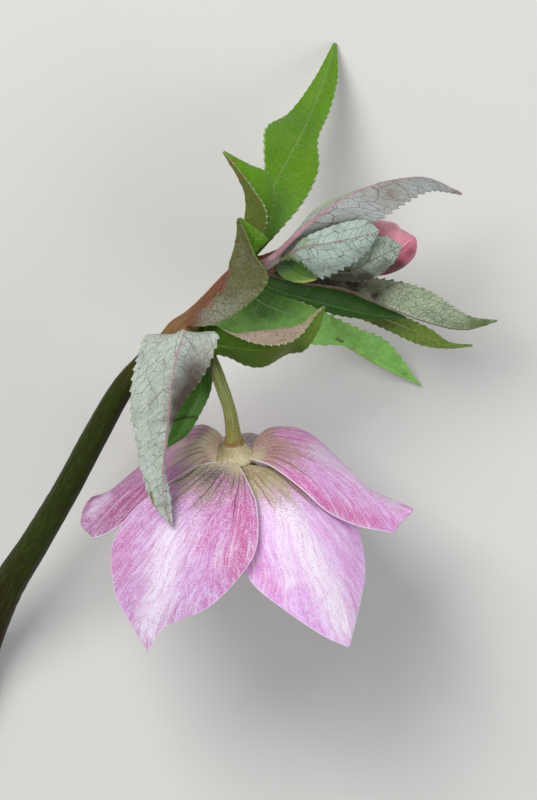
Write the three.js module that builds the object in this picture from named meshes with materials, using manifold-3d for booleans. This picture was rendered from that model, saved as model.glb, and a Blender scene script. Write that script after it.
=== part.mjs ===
// A cut hellebore: one branch end of a Lenten rose laid down on a table, with an open
// nodding flower, one closed bud and the leafy bracts of both nodes. Millimetres, +Z up,
// the table is Z = 0.
//
// Leaves and sepals are thin sheets drawn by lengthwise lines: first edge, midrib, second
// edge, with further lines where a sheet rolls or folds. Every line runs from the base of
// the sheet to its tip and all lines of a sheet have the same number of stations.
import * as THREE from "three";
import Module from "manifold-3d";

// ---------------------------------------------------------------- driving dimensions

// Layout sheet: points are written [across, down, height]; across and down count squares
// of the sheet from its top left corner, height is mm above the table.
const SQUARE = 0.18; // mm per square
const SHEET_ORIGIN = [210, 430]; // square that lies on the origin

const LEAF_THICKNESS = 0.6;
const SEPAL_THICKNESS = 0.64;
const TIP_WIDTH = 0.5; // narrowest width of a sheet
const LEAF_STATIONS = 24; // steps from base to tip
const SEPAL_STATIONS = 18;
const TOOTH = 0.32; // depth of the saw teeth on leaf edges

// Open flower: centre on the receptacle, its axis tips down from the horizontal.
const FLOWER_CENTRE = [235, 455, 34];
const FLOWER_TILT = 27; // degrees below the horizontal
const FLOWER_LEAN = 3.5; // degrees, seen from above

// Stems: [across, down, height, radius]
const MAIN_STEM = [
  [-62, 815, 2.72, 2.9], [-40, 725, 3, 2.8], [-18, 650, 5.2, 2.85], [4, 592, 10.5, 3.0],
  [33, 545, 15, 2.65], [65.5, 490, 19, 2.4], [95, 435, 23, 2.3], [123, 387, 28, 2.05],
  [153, 354, 31.3, 1.8], [180, 331, 33, 1.9],
];
const BRANCH = [
  [180, 331, 33, 1.9], [206.5, 304, 33, 1.5], [229.5, 279.3, 32.6, 1.4], [248, 268, 31.5, 1.7],
];
const BUD_STALK = [
  [248, 268, 31.5, 1.7], [262, 265, 32, 1.3], [281, 256, 31, 1.15], [294, 257, 29.2, 1.0],
];
const PEDICEL = [
  [184, 333, 33, 1.5], [199, 344, 36, 1.35], [211.5, 361, 38, 1.2], [222.3, 388, 38.5, 1.16],
  [229.8, 412, 37.3, 1.17], [233, 434, 35.6, 1.42], [235, 452, 34.3, 2.2],
];
const LOWER_NODE = [180, 331, 33, 1.9];
const UPPER_NODE = [248, 268, 31.5, 1.75];
const STEM_SIDES = 12;

// Bud: centres and radii along its axis.
const BUD = [
  [301, 256.5, 28.8, 1.3], [310, 255.5, 28.8, 2.5], [328, 253.5, 28.8, 3.9],
  [352, 250.8, 28.7, 4.8], [378, 248.2, 28.6, 5.05], [396, 245.6, 28.6, 4.35],
  [405, 243.6, 28.6, 3.3], [412, 240.1, 28.7, 1.7],
];
const BUD_SEPALS = 3; // outer sepals with a free edge
const BUD_LIP = 0.06; // part of the radius by which a free edge stands proud

// Inside the flower, measured along the flower axis from its centre.
const DOME = [[1.2, -0.6], [2.2, -0.4], [2.1, 1.2], [1.7, 2.5], [0.9, 2.9]]; // [radius, height]
const NECTARY = { count: 11, foot: 2.5, height: 2.4, length: 4.6, lean: 45 };
const STAMEN = { count: 26, foot: 1.6, height: 3.4, lean: 31 };
const CARPEL = { count: 4, height: 3.3, length: 8.5 };

const LEAVES = {
  bract_hanging: {
    lines: [
      [[175, 336, 35.8], [147.3, 335.8, 42], [139.5, 352, 43.3], [132.3, 380, 43.5],
       [130.8, 410, 43.6], [136.3, 441, 43.8], [142.3, 473, 43.8], [152, 501, 44],
       [171.6, 525.2, 44.9]],
      [[178, 335.5, 36], [185, 333.5, 42.4], [178, 352, 44.5], [172, 380, 45.4],
       [168.5, 410, 45.5], [165.5, 440, 45.2], [163, 473, 44.8], [165.5, 503, 44.8],
       [172.4, 525.5, 44.9]],
      [[181, 336, 36], [216.5, 333.2, 41.5], [214, 353, 42], [202, 378, 40.6],
       [179, 409, 39.6], [167, 440, 41], [165.5, 470, 43.2], [171.4, 500, 44.4],
       [173.2, 525.8, 44.9]],
    ],
    bow: [0.06, 0.06],
  },
  bract_hanging_inner: {
    lines: [
      [[185, 345, 31.2], [184, 368, 33.8], [180, 392, 35], [172, 415, 35], [167.5, 432, 34.8],
       [165.8, 448, 34.5]],
      [[187, 345, 31.4], [198, 368, 34.3], [200, 392, 35.6], [188, 417, 35.3],
       [178.5, 434, 34.9], [166.2, 448.2, 34.5]],
      [[189, 345, 31.2], [210, 371, 34.4], [211, 391, 35], [198.5, 418, 34.8],
       [187.5, 435, 34.7], [166.8, 448.4, 34.5]],
    ],
    bow: [0.05, 0.1],
  },
  bract_folded: {
    lines: [
      [[201, 328.5, 31.8], [214, 326.5, 34.4], [236, 336, 38.5], [253, 343, 40.5],
       [272, 346, 41], [290, 343, 40.5], [304, 332, 39], [315.5, 315.5, 37.5], [325, 306.5, 36]],
      [[200, 332, 31.8], [214, 331.5, 34.1], [236, 335, 36.7], [254, 332.3, 37.7],
       [272, 330.5, 38.2], [290, 328, 38.2], [303, 324, 37.7], [314, 314.5, 36.9],
       [324.9, 306.6, 36]],
      [[197, 338, 31.7], [214, 344, 32.6], [237, 348, 34.4], [257, 350, 35.3],
       [274, 349, 35.8], [291, 343, 36], [304, 336, 36.2], [315.5, 322, 36.2],
       [324.8, 306.8, 35.9]],
      [[196, 340, 31.6], [211, 352.5, 31.6], [229, 357.5, 31], [246, 365.3, 30.8],
       [264, 366.3, 31], [287, 354, 32.4], [304.5, 350.3, 33.8], [318.5, 330, 35.2],
       [324.9, 307.2, 35.8]],
    ],
  },
  bract_lower_right: {
    lines: [
      [[247, 281.5, 26], [266, 287.5, 23.6], [288, 295, 20], [316, 306.5, 16.5],
       [338, 318, 13.4], [362, 329, 10.2], [391, 343.3, 5.8], [422.5, 385.3, 0.5]],
      [[245, 284, 26], [258, 300, 23.8], [284, 312, 20], [315, 320, 16], [336, 331, 12.8],
       [358, 342, 9.3], [386, 361, 4.5], [422.4, 385.5, 0.4]],
      [[243, 285, 25.8], [212, 312, 26], [226, 334, 23.8], [275, 342, 19.4], [320, 345, 14],
       [345, 346.3, 10.9], [372, 362, 6.7], [422, 385.9, 0.4]],
    ],
    bow: [0.05, 0.05],
  },
  bract_inner_right: {
    lines: [
      [[259.8, 274.6, 29], [274, 276, 27.5], [302, 279.8, 25.6], [338, 288, 23.2],
       [372, 300.6, 20.7], [406, 316, 17.9]],
      [[258.8, 277.2, 28.9], [272, 288, 27.5], [302, 297, 25.5], [338, 306, 23],
       [372, 314, 20.6], [406, 316.8, 17.8]],
      [[257, 279, 28.6], [270, 292, 27.3], [300, 301, 25.3], [334, 314.2, 22.4],
       [371, 319, 19.9], [406, 317.1, 17.7]],
    ],
    bow: [0.06, 0],
  },
  bract_long_right: {
    lines: [
      [[264, 269, 30.2], [300, 272, 28.4], [335, 277, 26.4], [380, 278, 25.6],
       [425, 288.5, 26], [468, 314.6, 21.2], [497.5, 319.7, 16.6]],
      [[263, 271, 30.1], [300, 280.5, 28], [345, 288, 26.8], [385, 304.5, 25.2],
       [425, 320, 23.8], [464, 328, 20.6], [497.5, 319.9, 16.6]],
      [[262, 273, 29.8], [300, 283, 27.4], [345, 289.8, 26.2], [385, 306, 24.4],
       [425, 321.5, 22.4], [464, 329, 19.6], [497.5, 320.2, 16.5]],
    ],
    bow: [0.12, 0],
  },
  bract_under_right: {
    lines: [
      [[256, 282, 27.4], [300, 286, 23.6], [345, 297, 19.8], [390, 310, 15.6],
       [429, 327, 11.8], [451, 341.6, 9.6], [473.5, 344.2, 7.5]],
      [[254, 283, 27.3], [299, 293.5, 23.2], [345, 305, 19.6], [389, 319.5, 15.2],
       [429, 336.5, 11.4], [450, 344.5, 9.2], [473.5, 344.7, 7.5]],
      [[252, 284, 27.1], [298, 300, 22.6], [345, 313, 18.8], [385, 328.5, 14.4],
       [420, 343.8, 10.9], [447, 347.6, 8.8], [473.5, 345.3, 7.4]],
    ],
    bow: [0.05, 0.05],
  },
  bract_top: {
    lines: [
      [[250, 256, 29.3], [261, 222, 27.6], [265.5, 185, 25.8], [263.8, 150, 22.8],
       [266.5, 126, 18.6], [288.3, 111.8, 12.6], [313, 78.6, 6.6], [333.6, 40.2, 0.5]],
      [[253, 256, 29.5], [264, 222, 27.4], [273, 187, 25], [289, 155, 21.4],
       [302.5, 130, 16.6], [314, 104, 11], [327, 70, 5.3], [335.5, 40, 0.4]],
      [[256, 257, 29.3], [281, 229, 27.4], [304, 201, 25.2], [318.5, 170, 21.4],
       [318.5, 138, 16.6], [330.4, 108, 10.8], [338.2, 76, 5.2], [337.3, 40.2, 0.4]],
    ],
    bow: [-0.05, -0.05],
  },
  bract_top_folded: {
    lines: [
      [[250, 254, 31.9], [265, 230, 34.6], [266.5, 212, 37], [256.5, 194, 38], [243, 175, 38],
       [224, 152, 36.5]],
      [[247, 255, 31.5], [246, 230, 32.6], [248, 206, 34.5], [245.5, 190, 36],
       [236.6, 172, 36.8], [224, 152, 36.4]],
      [[251, 255, 31], [266, 229, 30.2], [272.5, 203, 31], [269, 175.5, 32],
       [249.5, 165.2, 34.3], [224, 151.5, 36.2]],
    ],
    bow: [-0.08, 0.1],
  },
  bract_sheath: {
    lines: [
      [[194, 327, 36], [216, 324, 37.4], [243, 309, 39.8], [268, 281, 41], [255, 255.5, 40.6],
       [240, 219, 38.4]],
      [[193, 325, 35.9], [208, 309, 36.4], [227, 291.5, 37.2], [235, 265, 37.6],
       [242.5, 239, 38], [239.5, 219, 38.2]],
      [[192, 324, 35.8], [206, 307.5, 36], [225, 290, 36.4], [233.5, 261.5, 36],
       [238.2, 240, 36.8], [238.6, 219, 38]],
      [[191.5, 323.5, 35.7], [205.5, 307, 35.9], [222, 288.5, 36.3], [258, 250, 35.8],
       [267, 238, 36.6], [240.5, 218, 37.8]],
    ],
  },
  bud_bract_upper: {
    lines: [
      [[265, 259.5, 35], [284, 245.5, 35.2], [299.5, 227.6, 35], [317.6, 208.6, 34.8],
       [350, 193.5, 34.2], [390, 182, 33.4], [425, 178, 31.5], [461, 193.8, 29]],
      [[267, 262.5, 35.6], [286, 246.3, 36.2], [301.5, 231, 37.2], [321, 216, 37.6],
       [350, 197, 37.2], [390, 182.8, 35.9], [427, 181.3, 33.2], [461, 194.1, 29]],
      [[269.5, 268, 34.6], [291, 251.5, 35.2], [313, 236, 35.6], [341, 227, 36.2],
       [376, 222, 37.6], [403, 205, 37.6], [430, 191.5, 34.2], [461, 194.6, 29]],
    ],
    bow: [0, 0.06],
  },
  bud_bract_near: {
    lines: [
      [[289, 255, 36.4], [302, 239.5, 37.9], [325, 229, 38], [348, 222, 38.6],
       [366, 221, 38.8], [378.5, 230.5, 37.8]],
      [[286.5, 257.5, 36.3], [302, 247.5, 38.1], [325, 244, 38.8], [348, 239.5, 39],
       [366, 235, 38.7], [378.5, 231.3, 37.9]],
      [[283.5, 260.5, 35.8], [301, 262.5, 36.6], [320, 278, 35.4], [344, 268.3, 36.6],
       [364.5, 254.5, 37.2], [378.5, 232.2, 37.8]],
    ],
    bow: [0.03, 0.12],
  },
  bud_bract_scoop: {
    lines: [
      [[277, 263, 33.3], [289, 254, 33.3], [303, 259, 33.5], [312, 267, 33.3], [318, 277, 32.7]],
      [[276, 266.5, 33], [286, 266, 32.3], [296, 271.5, 31.8], [306, 277, 31.8],
       [317, 279, 32.5]],
      [[275, 269, 32.8], [282.5, 277.7, 32.2], [292, 281.7, 32], [304, 282.6, 32],
       [316, 280.2, 32.4]],
    ],
  },
  bud_bract_far: {
    lines: [
      [[303, 261, 31.4], [325, 256, 33.4], [350, 250, 34.4], [370, 240, 34.6],
       [385, 236, 34.4], [401, 245, 33.9]],
      [[302, 264, 31.2], [325, 268, 32.8], [350, 271, 33.3], [372, 259.5, 34.6],
       [388, 252, 34.8], [401, 245.5, 33.9]],
      [[300, 267, 30.6], [320, 276, 30.2], [345, 280.5, 29.8], [371, 278.8, 31.2],
       [392.5, 263.5, 33.7], [401, 247, 33.9]],
    ],
    bow: [0.05, 0.08],
  },
};

const SEPALS = {
  sepal_front_left: {
    lines: [
      [[226, 461, 36.7], [196, 466.5, 35.2], [163, 487, 35.2], [131, 514, 34],
       [113, 545, 33.6], [114.5, 588, 37.3], [124.5, 612, 40.2], [148, 650, 42.9]],
      [[229, 463, 36.9], [210, 475, 38.4], [184, 501, 41], [160, 532, 42.2], [143, 565, 42.2],
       [138, 598, 42.2], [140, 622, 42.3], [148.2, 650, 42.9]],
      [[232, 464, 37], [224, 482, 40.3], [207, 512, 44], [188, 545, 46], [174, 578, 46.2],
       [160, 605, 45.2], [151, 628, 43.8], [148.4, 650, 42.9]],
      [[235, 464, 37.1], [237, 484, 40.7], [232, 515, 44.8], [221, 550, 47.3],
       [206, 582, 47.9], [183, 605, 46.8], [159, 627, 44.5], [148.8, 650, 43]],
      [[238, 463, 37.1], [247, 480, 40.1], [257, 505, 43.4], [257, 545, 46.6],
       [242, 573, 47.8], [209, 606, 47.6], [166, 626, 45], [149.2, 650, 43]],
    ],
  },
  sepal_front_right: {
    lines: [
      [[237, 468, 35.9], [238, 485, 39.2], [238, 515, 42.8], [238, 548, 45], [252, 582, 46],
       [285, 609, 46], [323, 635, 43.8], [347, 646, 41.2]],
      [[239, 467, 36], [250, 482, 38.9], [262, 512, 42.3], [272, 545, 44.6], [287, 578, 45.4],
       [310, 606, 44.6], [334, 630, 42.7], [347.3, 646, 41.2]],
      [[241, 465, 36], [262, 478, 38.2], [288, 506, 41.2], [306, 540, 43.2], [322, 573, 43.5],
       [335, 602, 42.6], [343, 625, 41.7], [347.6, 646, 41.1]],
      [[243, 464, 35.8], [274, 474, 36.9], [310, 502, 38.5], [332, 535, 39.8],
       [345, 568, 40.1], [350, 600, 40.5], [351, 624, 40.6], [348, 646, 41.1]],
      [[247, 465, 35.4], [285, 470, 35], [330, 497, 34.2], [356, 527, 33.3],
       [364.5, 562, 35.2], [361, 596, 37.9], [355.5, 622, 39.6], [348.3, 646, 41.1]],
    ],
  },
  sepal_side_right: {
    lines: [
      [[250, 459.5, 36.2], [258, 461.5, 37.1], [270, 466, 37.9], [300, 487.5, 39.5],
       [326, 510.5, 39.4], [358, 525.5, 36.8], [392.5, 533.5, 33.2]],
      [[251.5, 457.5, 35.8], [262, 457.5, 36.3], [278, 459, 36.2], [310, 473, 37],
       [338, 492, 36.2], [366, 507, 34], [400, 524, 31.8]],
      [[252, 455.5, 35], [263, 449, 34.2], [282, 446, 32.2], [316, 455, 31.4],
       [348, 473, 30.6], [371, 493, 30.2], [407, 516.5, 30.4]],
      [[252, 453, 34], [257.5, 440.5, 31.2], [274, 428.5, 26.5], [306, 433.5, 22.5],
       [340, 460, 23.5], [364, 487, 26], [412.5, 511.5, 29.4]],
      [[250.5, 449.5, 32.4], [254.5, 440, 28.8], [270, 431.5, 22.8], [303, 435.5, 16.9],
       [338, 459.5, 17.5], [362, 486, 22], [412, 508.5, 28.6]],
    ],
  },
  sepal_side_left: {
    lines: [
      [[224, 464.5, 35.4], [216, 470, 35.5], [207, 477, 35.4], [180, 496, 35.2],
       [141, 511, 32.6], [112, 530.6, 31.8], [94, 538.3, 31.4]],
      [[220.5, 461, 35], [212, 462, 34.4], [202, 463, 33.4], [166, 481, 32.6],
       [134, 501, 30.8], [107, 520, 30.2], [88, 532.5, 30.4]],
      [[218.5, 457, 34.3], [208, 449, 32.8], [196, 447, 30.6], [160, 464, 28.8],
       [129, 487.5, 27.8], [103.5, 505.5, 28.4], [80.8, 524.5, 29.4]],
      [[218.5, 453.5, 33.4], [216, 438.5, 30.8], [198, 427, 26.4], [163, 449, 22.6],
       [132.5, 473.3, 22.6], [107.5, 493.7, 25.4], [83.7, 508.2, 28.4]],
      [[220.5, 449.5, 32], [223, 438, 29], [205, 428, 22.5], [165, 448, 17],
       [135.5, 471, 17.5], [112.5, 490.6, 22], [91, 496, 27]],
    ],
  },
  sepal_back: {
    lines: [
      [[230, 448.5, 31.2], [222, 445, 27.4], [201, 447.5, 24.8], [175, 462, 21.8],
       [171, 488, 16], [187, 513, 9], [237.5, 532, 0.6]],
      [[232, 447.5, 30.9], [228, 439, 26.4], [214, 439.5, 23.2], [200, 449, 18],
       [201, 473, 11.6], [211, 500, 6], [238.2, 532, 0.45]],
      [[235, 447, 30.6], [235, 439, 26.6], [236, 436, 22.2], [236, 443, 15.8], [237, 466, 9.6],
       [238, 496, 4.2], [239, 532, 0.35]],
      [[238, 447.5, 30.9], [244, 436.6, 26.7], [256, 435, 22.9], [272, 448, 18],
       [272, 472, 11.6], [264, 500, 6], [239.8, 532, 0.45]],
      [[240.5, 448.5, 31.4], [251, 444, 28.2], [272, 446, 25.6], [296, 461, 21.8],
       [300, 486, 16], [288, 513, 9], [240.5, 532, 0.6]],
    ],
  },
};

// ---------------------------------------------------------------- sheets

const squares = ([x, y, z]) =>
  new THREE.Vector3((x - SHEET_ORIGIN[0]) * SQUARE, (SHEET_ORIGIN[1] - y) * SQUARE, z);

const smooth = (points) => new THREE.CatmullRomCurve3(points, false, "catmullrom", 0.5);

// Lines of one cross section of a sheet. A sheet drawn by three lines gets one more line in
// each half, lifted off the chord by `bow` times the length of the chord.
function sectionLines(curves, t, bow) {
  const points = curves.map((curve) => curve.getPoint(t));
  if (!bow || points.length !== 3) return points;
  const [first, rib, last] = points;
  const along = curves[1].getTangent(t);
  const up = new THREE.Vector3().subVectors(last, first).cross(along).normalize();
  const lifted = (edge, amount) =>
    edge.clone().add(rib).multiplyScalar(0.5).addScaledVector(up, amount * edge.distanceTo(rib));
  return [first, lifted(first, bow[0]), rib, lifted(last, bow[1]), last];
}

// Rows of points over the middle of a sheet, `steps` rows along and `columns` across.
function sheetGrid({ lines, bow }, steps, columns, tooth) {
  const curves = lines.map((line) => smooth(line.map(squares)));
  const rows = [];
  let side = new THREE.Vector3(1, 0, 0);
  for (let i = 0; i <= steps; i++) {
    const t = i / steps;
    const section = smooth(sectionLines(curves, t, bow));
    const row = [];
    for (let j = 0; j <= columns; j++) row.push(section.getPoint(j / columns));
    const span = new THREE.Vector3().subVectors(row[columns], row[0]);
    if (span.length() > TIP_WIDTH) side = span.clone().normalize();
    else widen(row, side);
    if (tooth > 0 && i > 1 && i < steps) cutTeeth(row, i % 2 === 0 ? tooth / 2 : -tooth / 2);
    rows.push(row);
  }
  return rows;
}

// Spreads a pinched row to the narrowest width.
function widen(row, side) {
  const middle = row[0].clone().add(row[row.length - 1]).multiplyScalar(0.5);
  row.forEach((point, j) => {
    point.copy(middle).addScaledVector(side, TIP_WIDTH * (j / (row.length - 1) - 0.5));
  });
}

// Moves both edge points of a row outward to a tooth, or inward between two teeth.
function cutTeeth(row, reach) {
  const last = row.length - 1;
  const away = (edge, inner) => new THREE.Vector3().subVectors(edge, inner).normalize();
  row[0].addScaledVector(away(row[0], row[1]), reach);
  row[last].addScaledVector(away(row[last], row[last - 1]), reach);
}

function gridNormal(rows, i, j) {
  const last = rows.length - 1;
  const end = rows[0].length - 1;
  const along = new THREE.Vector3().subVectors(
    rows[Math.min(i + 1, last)][j], rows[Math.max(i - 1, 0)][j]);
  const across = new THREE.Vector3().subVectors(
    rows[i][Math.min(j + 1, end)], rows[i][Math.max(j - 1, 0)]);
  return across.cross(along).normalize();
}

// Closed solid of one thickness round a grid, both faces divided alike.
function sheetSolid(rows, thickness) {
  const count = rows.length;
  const width = rows[0].length;
  const upper = [];
  const lower = [];
  for (let i = 0; i < count; i++) {
    for (let j = 0; j < width; j++) {
      const shift = gridNormal(rows, i, j).multiplyScalar(thickness / 2);
      upper.push(rows[i][j].clone().add(shift));
      lower.push(rows[i][j].clone().sub(shift));
    }
  }
  const back = count * width;
  const faces = [];
  const quad = (a, b, c, d) => faces.push(a, b, c, a, c, d);
  const at = (i, j) => i * width + j;
  for (let i = 0; i + 1 < count; i++) {
    for (let j = 0; j + 1 < width; j++) {
      const [a, b, c, d] = [at(i, j), at(i, j + 1), at(i + 1, j + 1), at(i + 1, j)];
      quad(a, b, c, d);
      quad(back + d, back + c, back + b, back + a);
    }
  }
  const wall = (a, b) => quad(b, a, back + a, back + b);
  for (let j = 0; j + 1 < width; j++) {
    wall(at(0, j), at(0, j + 1));
    wall(at(count - 1, j + 1), at(count - 1, j));
  }
  for (let i = 0; i + 1 < count; i++) {
    wall(at(i, width - 1), at(i + 1, width - 1));
    wall(at(i + 1, 0), at(i, 0));
  }
  return outward(solidGeometry(upper.concat(lower), faces));
}

function solidGeometry(points, faces) {
  const geometry = new THREE.BufferGeometry();
  geometry.setFromPoints(points);
  geometry.setIndex(faces);
  return geometry;
}

// Turns a closed solid right side out.
function outward(geometry) {
  const position = geometry.getAttribute("position");
  const index = geometry.getIndex();
  const [a, b, c] = [new THREE.Vector3(), new THREE.Vector3(), new THREE.Vector3()];
  let volume = 0;
  for (let k = 0; k < index.count; k += 3) {
    a.fromBufferAttribute(position, index.getX(k));
    b.fromBufferAttribute(position, index.getX(k + 1));
    c.fromBufferAttribute(position, index.getX(k + 2));
    volume += a.dot(b.cross(c));
  }
  if (volume < 0) index.array.reverse();
  return geometry;
}

// ---------------------------------------------------------------- round pieces

// Swept bar through rings [centre, radius], closed at both ends. shape(i, k) scales the
// radius at side k of ring i.
function bar(rings, sides, shape = () => 1) {
  const points = [];
  const faces = [];
  const centres = rings.map((ring) => ring[0]);
  let side = new THREE.Vector3(0, 0, 1);
  rings.forEach(([centre, radius], i) => {
    const along = new THREE.Vector3().subVectors(
      centres[Math.min(i + 1, centres.length - 1)], centres[Math.max(i - 1, 0)]).normalize();
    if (i === 0 && Math.abs(along.z) > 0.8) side.set(1, 0, 0);
    side = side.clone().addScaledVector(along, -side.dot(along)).normalize();
    const other = new THREE.Vector3().crossVectors(along, side);
    for (let k = 0; k < sides; k++) {
      const angle = ((k + 0.5) / sides) * 2 * Math.PI;
      const reach = radius * shape(i, k);
      points.push(centre.clone()
        .addScaledVector(side, reach * Math.cos(angle))
        .addScaledVector(other, reach * Math.sin(angle)));
    }
  });
  const last = rings.length - 1;
  points.push(centres[0].clone(), centres[last].clone());
  const [startPole, endPole] = [points.length - 2, points.length - 1];
  for (let k = 0; k < sides; k++) {
    const next = (k + 1) % sides;
    faces.push(startPole, next, k, endPole, last * sides + k, last * sides + next);
    for (let i = 0; i < last; i++) {
      const [a, b] = [i * sides + k, i * sides + next];
      faces.push(a, b, b + sides, a, b + sides, a + sides);
    }
  }
  return outward(solidGeometry(points, faces));
}

// Rings of a bar through sheet points [across, down, height, radius].
function rings(points, steps) {
  const centre = smooth(points.map(squares));
  const radius = smooth(points.map((p) => new THREE.Vector3(p[3], 0, 0)));
  const out = [];
  for (let i = 0; i <= steps; i++) {
    out.push([centre.getPoint(i / steps), radius.getPoint(i / steps).x]);
  }
  return out;
}

function knot([x, y, z, radius], sides) {
  const centre = squares([x, y, z]);
  const turn = [[-0.95, 0.3], [-0.6, 0.8], [0, 1], [0.6, 0.8], [0.95, 0.3]];
  return bar(turn.map(([up, out]) =>
    [centre.clone().add(new THREE.Vector3(0, 0, up * radius)), out * radius]), sides);
}

// ---------------------------------------------------------------- joining

const wasm = await Module();
wasm.setup();

function toManifold(geometry) {
  const position = geometry.getAttribute("position");
  return new wasm.Manifold(new wasm.Mesh({
    numProp: 3,
    vertProperties: new Float32Array(position.array),
    triVerts: new Uint32Array(geometry.getIndex().array),
  }));
}

function fromManifold(manifold) {
  const mesh = manifold.getMesh();
  const geometry = new THREE.BufferGeometry();
  geometry.setAttribute("position", new THREE.BufferAttribute(mesh.vertProperties, 3));
  geometry.setIndex(Array.from(mesh.triVerts));
  return geometry;
}

const joined = (geometries) =>
  fromManifold(geometries.map(toManifold).reduce((whole, piece) => whole.add(piece)));

// ---------------------------------------------------------------- stem

// The lying stem is pressed flat where it touches the table.
function restOnTable(ringList) {
  const geometry = bar(ringList, STEM_SIDES);
  const position = geometry.getAttribute("position");
  for (let k = 0; k < position.count; k++) {
    if (position.getZ(k) < 0) position.setZ(k, 0);
  }
  return geometry;
}

// Short clasping foot from a node towards the base of a bract.
function foot(node, name) {
  const start = squares(node);
  const { lines } = LEAVES[name];
  const base = lines.map((line) => squares(line[0]))
    .reduce((sum, p) => sum.add(p), new THREE.Vector3()).multiplyScalar(1 / lines.length);
  const away = new THREE.Vector3().subVectors(base, start);
  const reach = away.length() - LEAF_THICKNESS / 2 - 0.5;
  away.normalize();
  return bar([[start, 0.9], [start.clone().addScaledVector(away, reach), 0.6]], 6);
}

function makeStem() {
  const dome = DOME.map(([radius, height]) => [inFlower(0, 0, height), radius]);
  return joined([
    restOnTable(rings(MAIN_STEM, 16)),
    bar(rings(BRANCH, 5), STEM_SIDES),
    bar(rings(BUD_STALK, 6), 10),
    bar(rings(PEDICEL, 11), 10),
    bar(dome, 12),
    knot(LOWER_NODE, 12),
    knot(UPPER_NODE, 12),
    foot(LOWER_NODE, "bract_hanging_inner"),
    foot(LOWER_NODE, "bract_folded"),
    foot(UPPER_NODE, "bract_lower_right"),
    foot(UPPER_NODE, "bract_under_right"),
    foot(UPPER_NODE, "bract_inner_right"),
    foot(UPPER_NODE, "bract_long_right"),
    foot(UPPER_NODE, "bract_top"),
  ]);
}

// ---------------------------------------------------------------- flower

const radians = (degrees) => (degrees * Math.PI) / 180;

const flowerFrame = new THREE.Matrix4()
  .makeRotationZ(radians(FLOWER_LEAN))
  .multiply(new THREE.Matrix4().makeRotationX(radians(90 + FLOWER_TILT)))
  .setPosition(squares(FLOWER_CENTRE));

const inFlower = (x, y, z) => new THREE.Vector3(x, y, z).applyMatrix4(flowerFrame);

// Point at radius r, height h and compass angle a of the flower.
const around = (r, h, a) => inFlower(r * Math.sin(a), r * Math.cos(a), h);

function annulus(inner, outer, bottom, top, sides) {
  const points = [];
  const faces = [];
  const profile = [[inner, bottom], [outer, bottom], [outer, top], [inner, top]];
  for (let k = 0; k < sides; k++) {
    const angle = (k / sides) * 2 * Math.PI;
    for (const [r, h] of profile) points.push(around(r, h, angle));
  }
  for (let k = 0; k < sides; k++) {
    for (let m = 0; m < 4; m++) {
      const [a, b] = [k * 4 + m, k * 4 + ((m + 1) % 4)];
      const [c, d] = [((k + 1) % sides) * 4 + ((m + 1) % 4), ((k + 1) % sides) * 4 + m];
      faces.push(a, b, c, a, c, d);
    }
  }
  return outward(solidGeometry(points, faces));
}

function makeNectaries() {
  const { count, foot: start, height, length, lean } = NECTARY;
  const pieces = [annulus(2.4, 2.95, height - 0.3, height + 0.5, 16)];
  const step = radians(lean);
  for (let k = 0; k < count; k++) {
    const angle = ((k + 0.5) / count) * 2 * Math.PI;
    const tube = [[0, 0.42], [0.3, 0.55], [0.8, 0.72], [1, 0.62]].map(([s, radius]) => [
      around(start + 0.3 + s * length * Math.sin(step), height + s * length * Math.cos(step), angle),
      radius,
    ]);
    pieces.push(bar(tube, 6));
  }
  return joined(pieces);
}

function makeStamens() {
  const { count, foot: start, height, lean } = STAMEN;
  const pieces = [annulus(1.1, 2.0, height - 0.2, height + 0.4, 13)];
  for (let k = 0; k < count; k++) {
    const angle = ((k + 0.5) / count) * 2 * Math.PI;
    const tall = 8.5 + 1.6 * Math.sin(k * 2.4);
    const splay = radians(lean + 5 * Math.sin(k * 1.7 + 1));
    const place = (s) => around(start + s * Math.sin(splay), height + s * Math.cos(splay), angle);
    pieces.push(bar([[place(0), 0.14], [place(tall), 0.11]], 4));
    pieces.push(bar([[place(tall - 0.35), 0.2], [place(tall + 0.3), 0.42],
      [place(tall + 1), 0.16]], 4));
  }
  return joined(pieces);
}

function makeCarpels() {
  const { count, height, length } = CARPEL;
  const pieces = [bar([[inFlower(0, 0, height), 0.6], [inFlower(0, 0, height + 1.6), 0.75]], 8)];
  for (let k = 0; k < count; k++) {
    const angle = ((k + 0.5) / count) * 2 * Math.PI;
    const flask = [[0.25, 1.0, 0.5], [0.8, 2.4, 0.85], [1.0, 4, 0.8], [1.0, 5.4, 0.42],
      [1.25, 7, 0.22], [1.9, length, 0.15]];
    pieces.push(bar(flask.map(([r, h, radius]) =>
      [around(r, height + h, angle), radius]), 7));
  }
  return joined(pieces);
}

// ---------------------------------------------------------------- bud

// Closed bud of overlapping sepals: the radius climbs round each and drops at its free edge.
function makeBud() {
  const [steps, sides] = [12, 15];
  const each = sides / BUD_SEPALS;
  const lip = (i, k) => {
    const rise = (k % each) / (each - 1) - 0.5;
    return 1 + BUD_LIP * rise * Math.sin((Math.PI * i) / steps);
  };
  return bar(rings(BUD, steps), sides, lip);
}

// ---------------------------------------------------------------- assembly

const paint = (color, roughness) =>
  new THREE.MeshStandardMaterial({ color, roughness, metalness: 0 });

const FINISH = {
  stem: paint(0x5f6b2c, 0.6),
  leaf: paint(0x4d7a2a, 0.55),
  leafUnder: paint(0x8f9a80, 0.7),
  sepal: paint(0xd7a3d6, 0.6),
  bud: paint(0xc8607a, 0.55),
  nectary: paint(0x9fae4a, 0.5),
  stamen: paint(0xe9e2b0, 0.6),
  carpel: paint(0xb7c078, 0.6),
};

const UNDERSIDE_UP = new Set(["bract_hanging", "bract_long_right", "bract_under_right",
  "bract_sheath", "bud_bract_upper", "bud_bract_near", "bud_bract_far"]);

const whole = new THREE.Group();
whole.name = "hellebore_flower";

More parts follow.
